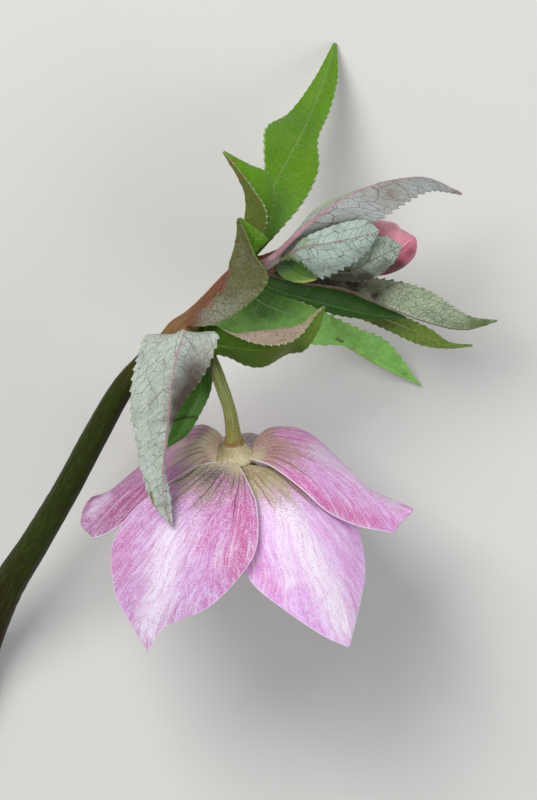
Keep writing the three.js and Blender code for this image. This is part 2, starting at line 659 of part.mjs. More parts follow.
function add(name, geometry, material) {
  geometry.computeVertexNormals();
  const mesh = new THREE.Mesh(geometry, material);
  mesh.name = name;
  whole.add(mesh);
}

add("stem", makeStem(), FINISH.stem);
for (const [name, drawing] of Object.entries(LEAVES)) {
  const columns = drawing.lines.length > 3 ? 6 : 4;
  const rows = sheetGrid(drawing, LEAF_STATIONS, columns, TOOTH);
  const material = UNDERSIDE_UP.has(name) ? FINISH.leafUnder : FINISH.leaf;
  add(name, sheetSolid(rows, LEAF_THICKNESS), material);
}
for (const [name, drawing] of Object.entries(SEPALS)) {
  const rows = sheetGrid(drawing, SEPAL_STATIONS, 8, 0);
  add(name, sheetSolid(rows, SEPAL_THICKNESS), FINISH.sepal);
}
add("nectaries", makeNectaries(), FINISH.nectary);
add("stamens", makeStamens(), FINISH.stamen);
add("carpels", makeCarpels(), FINISH.carpel);
add("bud", makeBud(), FINISH.bud);

export default whole;
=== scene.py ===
# %% [markdown]
# # A cut hellebore, laid on a table
# This lesson dresses one branch end of a Lenten rose: an open nodding flower, a closed bud,
# two leafy nodes and the stem that was cut. The solids of the part are already packed, and
# they say where everything is. Here each of them is replaced by a finer piece of the same
# form, with veins, teeth, streaks and colour. Nearly everything is a thin sheet, so the
# lesson first learns to make one good sheet and then makes nineteen of them.

import bpy
import numpy as np
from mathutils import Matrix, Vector


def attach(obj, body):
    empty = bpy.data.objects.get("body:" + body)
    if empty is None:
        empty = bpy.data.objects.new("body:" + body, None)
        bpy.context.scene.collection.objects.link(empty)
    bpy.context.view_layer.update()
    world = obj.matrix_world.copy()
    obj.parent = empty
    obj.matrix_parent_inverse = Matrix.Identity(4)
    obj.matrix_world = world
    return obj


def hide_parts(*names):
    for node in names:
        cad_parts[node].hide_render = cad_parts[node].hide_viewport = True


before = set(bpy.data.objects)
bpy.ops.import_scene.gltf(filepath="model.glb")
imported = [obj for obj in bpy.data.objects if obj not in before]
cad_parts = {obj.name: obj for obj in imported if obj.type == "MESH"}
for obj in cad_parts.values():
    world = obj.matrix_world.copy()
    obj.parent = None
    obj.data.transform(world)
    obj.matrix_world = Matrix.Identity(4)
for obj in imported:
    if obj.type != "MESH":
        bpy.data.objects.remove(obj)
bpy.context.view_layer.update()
print("solids in the frame:", len(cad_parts))

# %% [markdown]
# ## A sheet of squares
# A plant has no straight edges to measure from, so its pieces are drawn the way a
# boatbuilder draws a hull: as lines over a sheet of squares, each point with its place
# across, its place down and its height above the table. All lengths in this lesson are
# millimetres, and only the last step before a mesh turns them into Blender's metres.

# %% Squares to millimetres
SQUARE = 0.18
ORIGIN_SQUARE = (210, 430)
METRE = 0.001


def squares(points):
    """[across, down, height, ...] to [x, y, z, ...]: squares are scaled and down is turned."""
    place = np.array(points, float)
    place[..., 0] = (place[..., 0] - ORIGIN_SQUARE[0]) * SQUARE
    place[..., 1] = (ORIGIN_SQUARE[1] - place[..., 1]) * SQUARE
    return place


# %% [markdown]
# ## Camera and light
# The spray lies down, so the camera hangs over it and looks straight at the table. A long
# lens from three metres keeps the flower, which stands nearer the lens, from swelling. The
# light is a big soft window from the upper left, a weaker one from the right, and a pale
# room that fills the shadows.

# %% Camera
CAMERA_SQUARE = (268.5, 400)
CAMERA_HEIGHT = 3.0
PICTURE_TALL = 144.0
SENSOR = 36.0
FLOWER_LEVEL = 30.0


def hang_camera():
    """Lens length: sensor side times the distance, over the side of the field it takes in."""
    camera = bpy.data.cameras.new("camera")
    camera.sensor_fit = "VERTICAL"
    camera.sensor_height = SENSOR
    distance = CAMERA_HEIGHT / METRE - FLOWER_LEVEL
    camera.lens = SENSOR * distance / PICTURE_TALL
    held = bpy.data.objects.new("camera", camera)
    x, y = squares([*CAMERA_SQUARE, 0])[:2] * METRE
    held.location = (x, y, CAMERA_HEIGHT)
    bpy.context.scene.collection.objects.link(held)
    bpy.context.scene.camera = held
    return camera.lens


print("lens:", round(hang_camera()), "mm")

# %% Light
SPRAY_MIDDLE = (0, 0, 0.03)


def window(name, place, size, watts, colour):
    """A square soft light that faces the middle of the spray."""
    light = bpy.data.lights.new(name, "AREA")
    light.shape = "SQUARE"
    light.size = size
    light.energy = watts
    light.color = colour
    held = bpy.data.objects.new(name, light)
    held.location = place
    towards = np.array(SPRAY_MIDDLE) - np.array(place)
    held.rotation_euler = Vector(towards).to_track_quat("-Z", "Y").to_euler()
    bpy.context.scene.collection.objects.link(held)


def room(colour, strength):
    """One even colour all round."""
    world = bpy.data.worlds.new("room")
    world.use_nodes = True
    background = world.node_tree.nodes["Background"]
    background.inputs["Color"].default_value = (*colour, 1)
    background.inputs["Strength"].default_value = strength
    bpy.context.scene.world = world


window("window", place=(-0.35, 0.42, 0.75), size=0.5, watts=6.0, colour=(1.0, 0.985, 0.96))
window("far_window", place=(0.6, -0.25, 0.6), size=0.6, watts=2.2, colour=(0.94, 0.97, 1.0))
room((0.97, 0.98, 1.0), strength=0.36)
bpy.context.scene.view_settings.view_transform = "Standard"

# %% [markdown]
# ## Finishes are small node trees
# Every finish here is a Principled shader with a colour worked out by nodes. A few short
# helpers keep such trees readable: one adds a node, one reads a number that the mesh carries
# for each point, one lays colours over each other like coats of paint.

# %% Node helpers
def rgb(code):
    """Screen colour such as c8d2c3 to the linear values that shaders use."""
    screen = np.array([int(code[k:k + 2], 16) for k in (0, 2, 4)]) / 255
    linear = np.where(screen <= 0.04045, screen / 12.92, ((screen + 0.055) / 1.055) ** 2.4)
    return (*linear.tolist(), 1.0)


def join(tree, value, socket):
    """A link where the value is another node's socket, otherwise a constant."""
    if isinstance(value, bpy.types.NodeSocket):
        tree.links.new(value, socket)
    else:
        socket.default_value = value


def add(tree, kind, inputs=None, **settings):
    """One node, with its settings and with values or links on its inputs."""
    made = tree.nodes.new(kind)
    for key, value in settings.items():
        setattr(made, key, value)
    for key, value in (inputs or {}).items():
        join(tree, value, made.inputs[key])
    return made


def carried(tree, name):
    """A number that the mesh carries for each point."""
    return add(tree, "ShaderNodeAttribute", attribute_name=name).outputs["Fac"]


def carried_place(tree, name):
    """A place that the mesh carries for each point."""
    return add(tree, "ShaderNodeAttribute", attribute_name=name).outputs["Vector"]


def maths(tree, operation, first, *others):
    """Arithmetic on numbers, from left to right; some operations need only the first."""
    for other in others or (0.0,):
        first = add(tree, "ShaderNodeMath", {0: first, 1: other}, operation=operation).outputs[0]
    return first


def plus(tree, *numbers):
    """Sum of numbers."""
    return maths(tree, "ADD", *numbers)


def times(tree, *numbers):
    """Product of numbers."""
    return maths(tree, "MULTIPLY", *numbers)


def largest(tree, *numbers):
    """Largest of numbers."""
    return maths(tree, "MAXIMUM", *numbers)


def step(tree, value, start, end, low=0.0, high=1.0):
    """Smooth step of a number: low up to start, high from end on."""
    made = add(tree, "ShaderNodeMapRange", {
        "Value": value, "From Min": start, "From Max": end, "To Min": low, "To Max": high,
    }, interpolation_type="SMOOTHSTEP")
    return made.outputs["Result"]


def off_middle(tree, number):
    """How far a number is from the middle between its two whole neighbours."""
    return maths(tree, "ABSOLUTE", maths(tree, "SUBTRACT", maths(tree, "FRACT", number), 0.5))


def grain(tree, place, scale, detail=3.0, stretch=(1, 1, 1)):
    """Cloudy noise between 0 and 1 at a place, stretched along its axes."""
    moved = add(tree, "ShaderNodeMapping", {"Vector": place, "Scale": stretch})
    made = add(tree, "ShaderNodeTexNoise", {
        "Vector": moved.outputs[0], "Scale": scale, "Detail": detail, "Roughness": 0.6,
    })
    return made.outputs["Fac"]


def specks(tree, scale, detail=3.0):
    """The same noise at the point's own place, so scale counts its waves in a metre."""
    return grain(tree, add(tree, "ShaderNodeTexCoord").outputs["Object"], scale, detail)


def mixed(tree, amount, low, high):
    """Colour: low where amount is 0, high where it is 1."""
    made = add(tree, "ShaderNodeMix", {0: amount, 6: low, 7: high}, data_type="RGBA")
    return made.outputs[2]


def coated(tree, colour, coats):
    """Colours laid over a ground one after the other, each by its own (amount, colour)."""
    for amount, code in coats:
        colour = mixed(tree, amount, colour, rgb(code))
    return colour


def ramp(tree, value, stops):
    """Colour along a number, through stops of (number, colour)."""
    made = add(tree, "ShaderNodeValToRGB", {"Fac": value})
    while len(made.color_ramp.elements) < len(stops):
        made.color_ramp.elements.new(0.5)
    for element, (place, code) in zip(made.color_ramp.elements, stops):
        element.position = place
        element.color = rgb(code)
    return made.outputs["Color"]


def new_finish(name):
    """An empty material and its node tree."""
    material = bpy.data.materials.new(name)
    material.use_nodes = True
    return material, material.node_tree


def painted(tree, colour, roughness, specular=0.5, relief=None):
    """Sets the Principled shader; relief is (height, strength, metres) of a small bump."""
    values = {"Base Color": colour, "Roughness": roughness, "Specular IOR Level": specular}
    if relief:
        bump = add(tree, "ShaderNodeBump", dict(zip(("Height", "Strength", "Distance"), relief)))
        values["Normal"] = bump.outputs[0]
    for key, value in values.items():
        join(tree, value, tree.nodes["Principled BSDF"].inputs[key])


# %% [markdown]
# ## Table
# Only a plain pale table, which is no part of the flower.

# %% Table
TABLE_HALF = 6.0


def lay_table():
    """A flat square round the origin, two table halves to each side."""
    material, tree = new_finish("table")
    painted(tree, rgb("d9d9d6"), roughness=0.8)
    mesh = bpy.data.meshes.new("table")
    corners = np.array([(-1, -1, 0), (1, -1, 0), (1, 1, 0), (-1, 1, 0)]) * TABLE_HALF
    mesh.from_pydata(corners.tolist(), [], [(0, 1, 2, 3)])
    mesh.materials.append(material)
    table = bpy.data.objects.new("table", mesh)
    bpy.context.scene.collection.objects.link(table)


lay_table()

# %% [markdown]
# ## Smooth lines through points
# A leaf edge is a handful of points with a smooth line through them. Blender's own curves
# could draw it, but a numpy formula gives all points of all lines at once, and the same
# formula then runs across the leaf from edge to edge. Catmull-Rom splines are the plain
# choice: they pass through every point, and each slope is half the step between the
# neighbours.

# %% Splines
ROUGH_STEPS = 200
FINE_STEPS = 400


def through(points, t):
    """Catmull-Rom: cubic between two points, slopes half the step between the neighbours."""
    points = np.asarray(points, float)
    at = np.clip(t, 0, 1) * (len(points) - 1)
    k = np.minimum(at.astype(int), len(points) - 2)
    u = (at - k).reshape((-1,) + (1,) * (points.ndim - 1))
    first = 2 * points[:1] - points[1:2]
    last = 2 * points[-1:] - points[-2:-1]
    padded = np.concatenate([first, points, last])
    slope = (padded[2:] - padded[:-2]) / 2
    return ((2 * u**3 - 3 * u**2 + 1) * points[k] + (u**3 - 2 * u**2 + u) * slope[k]
            + (3 * u**2 - 2 * u**3) * points[k + 1] + (u**3 - u**2) * slope[k + 1])


def lengths(line):
    """Way gone along a line at each of its points."""
    steps = np.linalg.norm(np.diff(line, axis=0), axis=-1)
    return np.concatenate([np.zeros((1,) + steps.shape[1:]), np.cumsum(steps, axis=0)])


def even(points, count):
    """count parameters that cut the line through the points into equal lengths."""
    fine = np.linspace(0, 1, FINE_STEPS)
    way = lengths(through(points, fine))
    return np.interp(np.linspace(0, way[-1], count), way, fine)


def unit(vectors):
    """Vectors made one long."""
    return vectors / np.maximum(np.linalg.norm(vectors, axis=-1, keepdims=True), 1e-9)


def heading(line):
    """Direction of a line at each of its points, by differences."""
    return unit(np.gradient(line, axis=0))


def smoothstep(x, low, high):
    """0 up to low, 1 from high on, 3s^2 - 2s^3 between."""
    s = np.clip((x - low) / (high - low), 0, 1)
    return s * s * (3 - 2 * s)


def ripple(x, y, seed, waves=5, spread=1.0):
    """Smooth unevenness: a sum of sines with seeded directions, lengths and phases."""
    rng = np.random.default_rng(seed)
    turn = rng.uniform(0, 2 * np.pi, waves)
    pace = rng.uniform(0.6, 1.5, waves) * spread
    phase = rng.uniform(0, 2 * np.pi, waves)
    way = x[..., None] * np.cos(turn) + y[..., None] * np.sin(turn)
    return np.sin(way * pace + phase).sum(-1) / waves


# %% [markdown]
# ## From lines to a sheet
# A sheet is a grid of points: rows run from base to tip, columns from one edge to the other.
# Along each drawn line the spline gives the rows, and across them a second spline gives the
# columns. A leaf half isn't flat between its edge and its midrib, so a sheet drawn by only
# three lines gets one more line in each half, lifted by its `bow`.

# %% Grid of a sheet
LEAST_WIDTH = 0.35
LEAST_COLUMNS = 9


def sheet_grid(drawing, spacing):
    """Rows even along the rib, columns even across at the widest row, about spacing apart."""
    lines = [squares(line) for line in drawing["lines"]]
    middle = lines[len(lines) // 2]
    rows = int(lengths(through(middle, np.linspace(0, 1, ROUGH_STEPS)))[-1] / spacing) + 1
    t = even(middle, rows)
    drawn = np.stack([through(line, t) for line in lines], 1)
    if "bow" in drawing:
        drawn = bowed(drawn, drawing["bow"])
    widest = lengths(drawn.swapaxes(0, 1))[-1].max()
    columns = max(LEAST_COLUMNS, int(widest / spacing) + 1)
    across = np.linspace(0, 1, columns)
    return opened(through(drawn.swapaxes(0, 1), across).swapaxes(0, 1))


def bowed(drawn, bow):
    """Adds to each half a line over the middle of its chord, bow chords high."""
    first, rib, last = drawn[:, 0], drawn[:, 1], drawn[:, 2]
    up = unit(np.cross(last - first, np.gradient(rib, axis=0)))
    left, right = ((edge + rib) / 2 + up * lift * np.linalg.norm(edge - rib, axis=1)[:, None]
                   for edge, lift in zip((first, last), bow))
    return np.stack([first, left, rib, right, last], 1)


def opened(grid):
    """Opens rows narrower than the least width, along the chord of the nearest wide row."""
    chord = grid[:, -1] - grid[:, 0]
    width = np.linalg.norm(chord, axis=1)
    wide = np.flatnonzero(width > 2 * LEAST_WIDTH)
    nearest = wide[np.abs(np.arange(len(grid))[:, None] - wide[None]).argmin(1)]
    lacking = np.clip(LEAST_WIDTH - width, 0, None)[:, None]
    place = lacking * np.linspace(-0.5, 0.5, grid.shape[1])[None]
    return grid + unit(chord[nearest])[:, None] * place[..., None]


def normals(grid):
    """Across times along, by differences."""
    return unit(np.cross(np.gradient(grid, axis=1), np.gradient(grid, axis=0)))


# %% [markdown]
# ## From a sheet to a closed mesh
# Two copies of the grid, one on each side of the sheet, are joined by a rim, so the leaf is a
# true thin solid. Blender's Solidify modifier does the same, but here each side has its own
# relief: veins stand proud below and are sunk above.

# %% Closed meshes
def new_piece(name, points, faces, fields, finish):
    """Mesh object at the origin, its points in metres, with numbers carried on its points."""
    mesh = bpy.data.meshes.new(name)
    mesh.from_pydata((points * METRE).tolist(), [], [f for part in faces for f in part.tolist()])
    for key, values in fields.items():
        kind, slot = ("FLOAT_VECTOR", "vector") if values.ndim == 2 else ("FLOAT", "value")
        made = mesh.attributes.new(key, kind, "POINT")
        made.data.foreach_set(slot, values.astype(np.float32).ravel())
    mesh.materials.append(finish)
    mesh.shade_smooth()
    piece = bpy.data.objects.new(name, mesh)
    bpy.context.scene.collection.objects.link(piece)
    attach(piece, "root")
    print(name, "-", len(mesh.polygons), "faces")
    return piece


def two_sided(front, back):
    """Points and arrays of faces: the two grids, and a rim that joins them."""
    rows, columns = front.shape[:2]
    count = rows * columns
    at = np.arange(count).reshape(rows, columns)
    quads = np.stack([at[:-1, :-1], at[:-1, 1:], at[1:, 1:], at[1:, :-1]], -1).reshape(-1, 4)
    ring = np.concatenate([at[0, :-1], at[:-1, -1], at[-1, :0:-1], at[:0:-1, 0]])
    ahead = np.roll(ring, -1)
    rim = np.stack([ring, ring + count, ahead + count, ahead], -1)
    points = np.concatenate([front.reshape(-1, 3), back.reshape(-1, 3)])
    return points, [quads, quads[:, ::-1] + count, rim]


def on_both(values):
    """Numbers or places of a grid's points, for both of its copies."""
    flat = values.reshape(-1, *values.shape[2:])
    return np.concatenate([flat, flat])


# %% [markdown]
# ## The leaves, line by line
# Hellebore bracts are toothed leaves. Some are rolled or folded along the midrib, and those
# have four lines: edge, fold, midrib, edge, so their midrib is line `rib=2`. `under` says that
# the side which faces along "across times along" is the leaf's underside. `root` is a place
# inside the stem, and the leaf is `spread` times as wide there as where it leaves the stem.
# `tooth` is the depth of its saw teeth, `edges` the share of it on either edge, and `pitch`
# the way from tooth to tooth. `spots` are round places with the leaf's second tint, the blush
# places take a third and the patch paths a fourth. Most of these are the leaf's own colours,
# some are painted shade and painted light.

# %% Leaf lines
LEAF_LINES = {
    "bract_hanging": [
        [[175, 336, 35.8], [147.3, 335.8, 42], [139.5, 352, 43.3], [132.3, 380, 43.5],
         [130.8, 410, 43.6], [136.3, 441, 43.8], [142.3, 473, 43.8], [152, 501, 44],
         [171.6, 525.2, 44.9]],
        [[178, 335.5, 36], [185, 333.5, 42.4], [178, 352, 44.5], [172, 380, 45.4],
         [168.5, 410, 45.5], [165.5, 440, 45.2], [163, 473, 44.8], [165.5, 503, 44.8],
         [172.4, 525.5, 44.9]],
        [[181, 336, 36], [216.5, 333.2, 41.5], [214, 353, 42], [202, 378, 40.6], [179, 409, 39.6],
         [167, 440, 41], [165.5, 470, 43.2], [171.4, 500, 44.4], [173.2, 525.8, 44.9]],
    ],
    "bract_hanging_inner": [
        [[185, 345, 31.2], [184, 368, 33.8], [180, 392, 35], [172, 415, 35], [167.5, 432, 34.8],
         [165.8, 448, 34.5]],
        [[187, 345, 31.4], [198, 368, 34.3], [200, 392, 35.6], [188, 417, 35.3],
         [178.5, 434, 34.9], [166.2, 448.2, 34.5]],
        [[189, 345, 31.2], [210, 371, 34.4], [211, 391, 35], [198.5, 418, 34.8],
         [187.5, 435, 34.7], [166.8, 448.4, 34.5]],
    ],
    "bract_folded": [
        [[201, 326.3, 31.9], [214, 325.2, 34.5], [236, 336, 38.5], [253, 343, 40.5],
         [272, 346, 41], [290, 343, 40.5], [304, 332, 39], [315.5, 315.5, 37.5], [325, 306.5, 36]],
        [[200, 332, 31.8], [214, 331.5, 34.1], [236, 335, 36.7], [254, 332.3, 37.7],
         [272, 330.5, 38.2], [290, 328, 38.2], [303, 324, 37.7], [314, 314.5, 36.9],
         [324.9, 306.6, 36]],
        [[197, 338, 31.7], [214, 344, 32.6], [237, 348, 34.4], [257, 350, 35.3], [274, 349, 35.8],
         [291, 343, 36], [304, 336, 36.2], [315.5, 322, 36.2], [324.8, 306.8, 35.9]],
        [[196, 340, 31.6], [211, 352.5, 31.6], [229, 357.5, 31], [246, 365.3, 30.8],
         [264, 366.3, 31], [287, 354, 32.4], [304.5, 350.3, 33.8], [318.5, 330, 35.2],
         [324.9, 307.2, 35.8]],
    ],
    "bract_lower_right": [
        [[247, 281.5, 26], [266, 287.5, 23.6], [288, 295, 20], [316, 306.5, 16.5],
         [338, 318, 13.4], [362, 329, 10.2], [391, 343.3, 5.8], [422.5, 385.3, 0.5]],
        [[245, 284, 26], [258, 300, 23.8], [284, 312, 20], [315, 320, 16], [336, 331, 12.8],
         [358, 342, 9.3], [386, 361, 4.5], [422.4, 385.5, 0.4]],
        [[243, 285, 25.8], [212, 312, 26], [226, 334, 23.8], [275, 342, 19.4], [320, 345, 14],
         [345, 346.3, 10.9], [372, 362, 6.7], [422, 385.9, 0.4]],
    ],
    "bract_inner_right": [
        [[259.8, 274.6, 29], [274, 276, 27.5], [302, 279.8, 25.6], [338, 288, 23.2],
         [372, 300.6, 20.7], [406, 316, 17.9]],
        [[258.8, 277.2, 28.9], [272, 288, 27.5], [302, 297, 25.5], [338, 306, 23],
         [372, 314, 20.6], [406, 316.8, 17.8]],
        [[257, 279, 28.6], [270, 292, 27.3], [300, 301, 25.3], [334, 314.2, 22.4],
         [371, 319, 19.9], [406, 317.1, 17.7]],
    ],
    "bract_long_right": [
        [[264, 269, 30.2], [300, 272, 28.4], [335, 277, 26.4], [380, 278, 25.6], [425, 288.5, 26],
         [468, 314.6, 21.2], [497.5, 319.7, 16.6]],
        [[263, 271, 30.1], [300, 280.5, 28], [345, 288, 26.8], [385, 304.5, 25.2],
         [425, 320, 23.8], [464, 328, 20.6], [497.5, 319.9, 16.6]],
        [[262, 273, 29.8], [300, 283, 27.4], [345, 289.8, 26.2], [385, 306, 24.4],
         [425, 321.5, 22.4], [464, 329, 19.6], [497.5, 320.2, 16.5]],
    ],
    "bract_under_right": [
        [[256, 282, 27.4], [300, 286, 23.6], [345, 297, 19.8], [390, 310, 15.6], [429, 327, 11.8],
         [451, 341.6, 9.6], [473.5, 344.2, 7.5]],
        [[254, 283, 27.3], [299, 293.5, 23.2], [345, 305, 19.6], [389, 319.5, 15.2],
         [429, 336.5, 11.4], [450, 344.5, 9.2], [473.5, 344.7, 7.5]],
        [[252, 284, 27.1], [298, 300, 22.6], [345, 313, 18.8], [385, 328.5, 14.4],
         [420, 343.8, 10.9], [447, 347.6, 8.8], [473.5, 345.3, 7.4]],
    ],
    "bract_top": [
        [[250, 256, 29.3], [261, 222, 27.6], [265.5, 185, 25.8], [263.8, 150, 22.8],
         [266.5, 126, 18.6], [288.3, 111.8, 12.6], [313, 78.6, 6.6], [333.6, 40.2, 0.5]],
        [[253, 256, 29.5], [264, 222, 27.4], [273, 187, 25], [289, 155, 21.4], [302.5, 130, 16.6],
         [314, 104, 11], [327, 70, 5.3], [335.5, 40, 0.4]],
        [[256, 257, 29.3], [281, 229, 27.4], [304, 201, 25.2], [318.5, 170, 21.4],
         [318.5, 138, 16.6], [330.4, 108, 10.8], [338.2, 76, 5.2], [337.3, 40.2, 0.4]],
    ],
    "bract_top_folded": [
        [[250, 254, 31.9], [265, 230, 34.6], [266.5, 212, 37], [256.5, 194, 38], [243, 175, 38],
         [224, 152, 36.5]],
        [[247, 255, 31.5], [246, 230, 32.6], [248, 206, 34.5], [245.5, 190, 36],
         [236.6, 172, 36.8], [224, 152, 36.4]],
        [[251, 255, 31], [266, 229, 30.2], [272.5, 203, 31], [269, 175.5, 32],
         [249.5, 165.2, 34.3], [224, 151.5, 36.2]],
    ],
    "bract_sheath": [
        [[194, 327, 36], [216, 324, 37.4], [243, 309, 39.8], [268, 281, 41], [255, 255.5, 40.6],
         [240, 219, 38.4]],
        [[193, 325, 35.9], [208, 309, 36.4], [227, 291.5, 37.2], [235, 265, 37.6],
         [242.5, 239, 38], [239.5, 219, 38.2]],
        [[192, 324, 35.8], [206, 307.5, 36], [225, 290, 36.4], [233.5, 261.5, 36],
         [238.2, 240, 36.8], [238.6, 219, 38]],
        [[191.5, 323.5, 35.7], [205.5, 307, 35.9], [222, 288.5, 36.3], [258, 250, 35.8],
         [267, 238, 36.6], [240.5, 218, 37.8]],
    ],
    "bud_bract_upper": [
        [[265, 259.5, 35], [284, 245.5, 35.2], [299.5, 227.6, 35], [317.6, 208.6, 34.8],
         [350, 193.5, 34.2], [390, 182, 33.4], [425, 178, 31.5], [461, 193.8, 29]],
        [[267, 262.5, 35.6], [286, 246.3, 36.2], [301.5, 231, 37.2], [321, 216, 37.6],
         [350, 197, 37.2], [390, 182.8, 35.9], [427, 181.3, 33.2], [461, 194.1, 29]],
        [[269.5, 268, 34.6], [291, 251.5, 35.2], [313, 236, 35.6], [341, 227, 36.2],
         [376, 222, 37.6], [403, 205, 37.6], [430, 191.5, 34.2], [461, 194.6, 29]],
    ],
    "bud_bract_near": [
        [[289, 255, 36.4], [302, 239.5, 37.9], [325, 229, 38], [348, 222, 38.6], [366, 221, 38.8],
         [378.5, 230.5, 37.8]],
        [[286.5, 257.5, 36.3], [302, 247.5, 38.1], [325, 244, 38.8], [348, 239.5, 39],
         [366, 235, 38.7], [378.5, 231.3, 37.9]],
        [[283.5, 260.5, 35.8], [301, 262.5, 36.6], [320, 278, 35.4], [344, 268.3, 36.6],
         [364.5, 254.5, 37.2], [378.5, 232.2, 37.8]],
    ],
    "bud_bract_scoop": [
        [[277, 263, 33.3], [289, 254, 33.3], [303, 259, 33.5], [312, 267, 33.3], [318, 277, 32.7]],
        [[276, 266.5, 33], [286, 266, 32.3], [296, 271.5, 31.8], [306, 277, 31.8],
         [317, 279, 32.5]],
        [[275, 269, 32.8], [282.5, 277.7, 32.2], [292, 281.7, 32], [304, 282.6, 32],
         [316, 280.2, 32.4]],
    ],
    "bud_bract_far": [
        [[303, 261, 31.4], [325, 256, 33.4], [350, 250, 34.4], [370, 240, 34.6], [385, 236, 34.4],
         [401, 245, 33.9]],
        [[302, 264, 31.2], [325, 268, 32.8], [350, 271, 33.3], [372, 259.5, 34.6],
         [388, 252, 34.8], [401, 245.5, 33.9]],
        [[300, 267, 30.6], [320, 276, 30.2], [345, 280.5, 29.8], [371, 278.8, 31.2],
         [392.5, 263.5, 33.7], [401, 247, 33.9]],
    ],
}

# %% Leaf growth
GROWTH = {
    "bract_hanging": dict(
        root=[181, 334, 33.6], bow=(0.06, 0.06), tooth=0.45, pitch=1.8,
        # the first four spots are painted shade on the right half, which turns from the light
        spots=[(198, 368, 13, 0.7), (189, 388, 15, 0.9), (180, 406, 12, 0.9),
               (173, 421, 7, 0.8), (169, 505, 6, 0.25)],
        blush_and_light=[(205, 350, 12, 0.25), (150, 334, 12, 0.3)],
        patch_and_light=[(1.7, 1.0, [151.5, 492], [153.5, 504], [158, 513], [165, 522])]),
    "bract_hanging_inner": dict(
        root=[183, 336, 32.2], bow=(0.05, 0.1), under=True, tooth=0.15,
        patch_and_light=[(1.2, 0.85, [171, 422.6], [178, 419.5], [187, 417], [193, 416.3], [197, 418])]),
    "bract_folded": dict(
        root=[190, 327, 32.4], spread=1.4, rib=2, tooth=0.4, pitch=1.4, blush_and_light=[(285, 352, 20, 0.5)],
        patch_and_light=[(7, 0.7, [309, 338], [318, 318])]),
    "bract_sheath": dict(
        root=[187, 327, 33.6], rib=2, tooth=0.2, pitch=1.3,
        spots=[(208, 318, 13, 1.0), (226, 311, 12, 0.8), (243, 297, 12, 0.3)],
        blush_and_light=[(196, 318, 7, 0.9), (207, 303, 7, 1.0), (220, 288, 6, 1.0), (229, 271, 4, 0.9),
               (234, 256, 2, 0.9), (238, 243, 1.5, 0.8), (240, 230, 1.5, 0.8)],
        patch_and_light=[(2.6, 1.0, [238, 224], [234.5, 238], [231.5, 250], [229.5, 261])]),
    "bract_lower_right": dict(
        root=[247, 272, 30.6], bow=(0.05, 0.05), tooth=0.6, pitch=2.0,
        spots=[(262, 300, 26, 1.0), (292, 306, 16, 0.4), (338, 332, 20, 0.3)],
        blush_and_light=[(352, 350, 4, 0.9), (361, 356, 4, 0.9), (369, 361, 3, 0.8)],
        patch_and_light=[(1.3, 0.9, [336, 338.2], [342.5, 341])]),
    "bract_under_right": dict(
        root=[249, 272, 30.6], bow=(0.05, 0.05), under=True, tooth=0.42, pitch=1.6,
        spots=[(380, 316, 24, 1.0)]),
    "bract_inner_right": dict(
        root=[250, 271, 30.8], bow=(0.06, 0), tooth=0.32, pitch=1.8, spots=[(274, 285, 13, 1.0)]),
    "bract_long_right": dict(
        root=[252, 269, 31], bow=(0.12, 0), under=True, tooth=0.5, pitch=1.4,
        # spots: painted shadow along the base, where the bud bracts overhang it
        spots=[(286, 275, 20, 1.0), (322, 281, 19, 1.0), (354, 286, 16, 0.9),
               (378, 293, 12, 0.7)],
        blush_and_light=[(485, 322, 12, 1.0), (470, 323, 8, 0.6), (455, 328, 8, 0.6)]),
    "bract_top": dict(
        root=[250, 265, 30.8], bow=(-0.05, -0.05), tooth=0.38, pitch=1.8,
        # blush here: painted light on the base, where the folded bract above shades it
        spots=[(300, 120, 17, 0.8), (279, 150, 12, 0.5)], blush_and_light=[(275, 213, 24, 0.5)]),
    "bract_top_folded": dict(
        root=[248, 264, 31.4], bow=(-0.08, 0.1), tooth=0.28, pitch=1.2,
        blush_and_light=[(240, 178, 4, 0.7), (233, 163, 3, 0.8), (246, 192, 3, 0.5)]),
    "bud_bract_upper": dict(
        root=[256, 266, 32.6], bow=(0, 0.06), spread=1.6, under=True, tooth=0.7,
        edges=(0.4, 1), pitch=1.5, spots=[(277, 250, 12, 0.6), (388, 193, 15, 0.5)],
        blush_and_light=[(264, 262, 9, 0.8), (279, 252, 8, 0.7), (291, 243, 5, 0.5), (458, 194, 8, 0.6)],
        patch_and_light=[(3.6, 0.9, [300, 225], [308, 214], [320, 206], [338, 197], [352, 191])]),
    "bud_bract_near": dict(
        root=[270, 268, 31.8], bow=(0.03, 0.12), spread=1.2, under=True, tooth=1.05,
        # the first spot is painted shade where the blade turns under into its lower half
        edges=(0.15, 1), pitch=1.45, spots=[(289, 260, 7, 0.8), (320, 268, 5, 0.3)],
        blush_and_light=[(278, 262, 9, 1.0), (289, 252, 6, 0.6)],
        patch_and_light=[(5, 0.9, [287, 258], [296, 265], [305, 272], [313, 278]),
               (6, 0.6, [294, 243], [303, 241])]),
    "bud_bract_scoop": dict(
        # spots: painted shade in the hollow of the scoop
        root=[272, 262, 31.8], tooth=0.1, spots=[(286, 262, 8, 1.0), (279, 268, 6, 0.8)],
        blush_and_light=[(275, 265, 5, 0.9)],
        # patch: a painted highlight along the lit lower edge
        patch_and_light=[(1.8, 0.9, [296, 283.4], [306, 283.3], [315, 281])]),
    "bud_bract_far": dict(
        root=[290, 257, 29.8], bow=(0.05, 0.08), under=True, tooth=0.5, pitch=1.3,
        # spots: painted shade on the lower part, under the near bud bract
        spots=[(325, 272, 12, 0.9), (344, 277, 14, 1.0), (366, 278, 11, 0.9),
               (386, 268, 9, 0.6)]),
}


def grown_from(lines, root, spread):
    """Adds a first station to each line: the root, spread times as wide as the base."""
    base = np.array([line[0] for line in lines], float)
    first = np.array(root) + spread * (base - base.mean(0))
    return [[start, *line] for start, line in zip(first.tolist(), lines)]


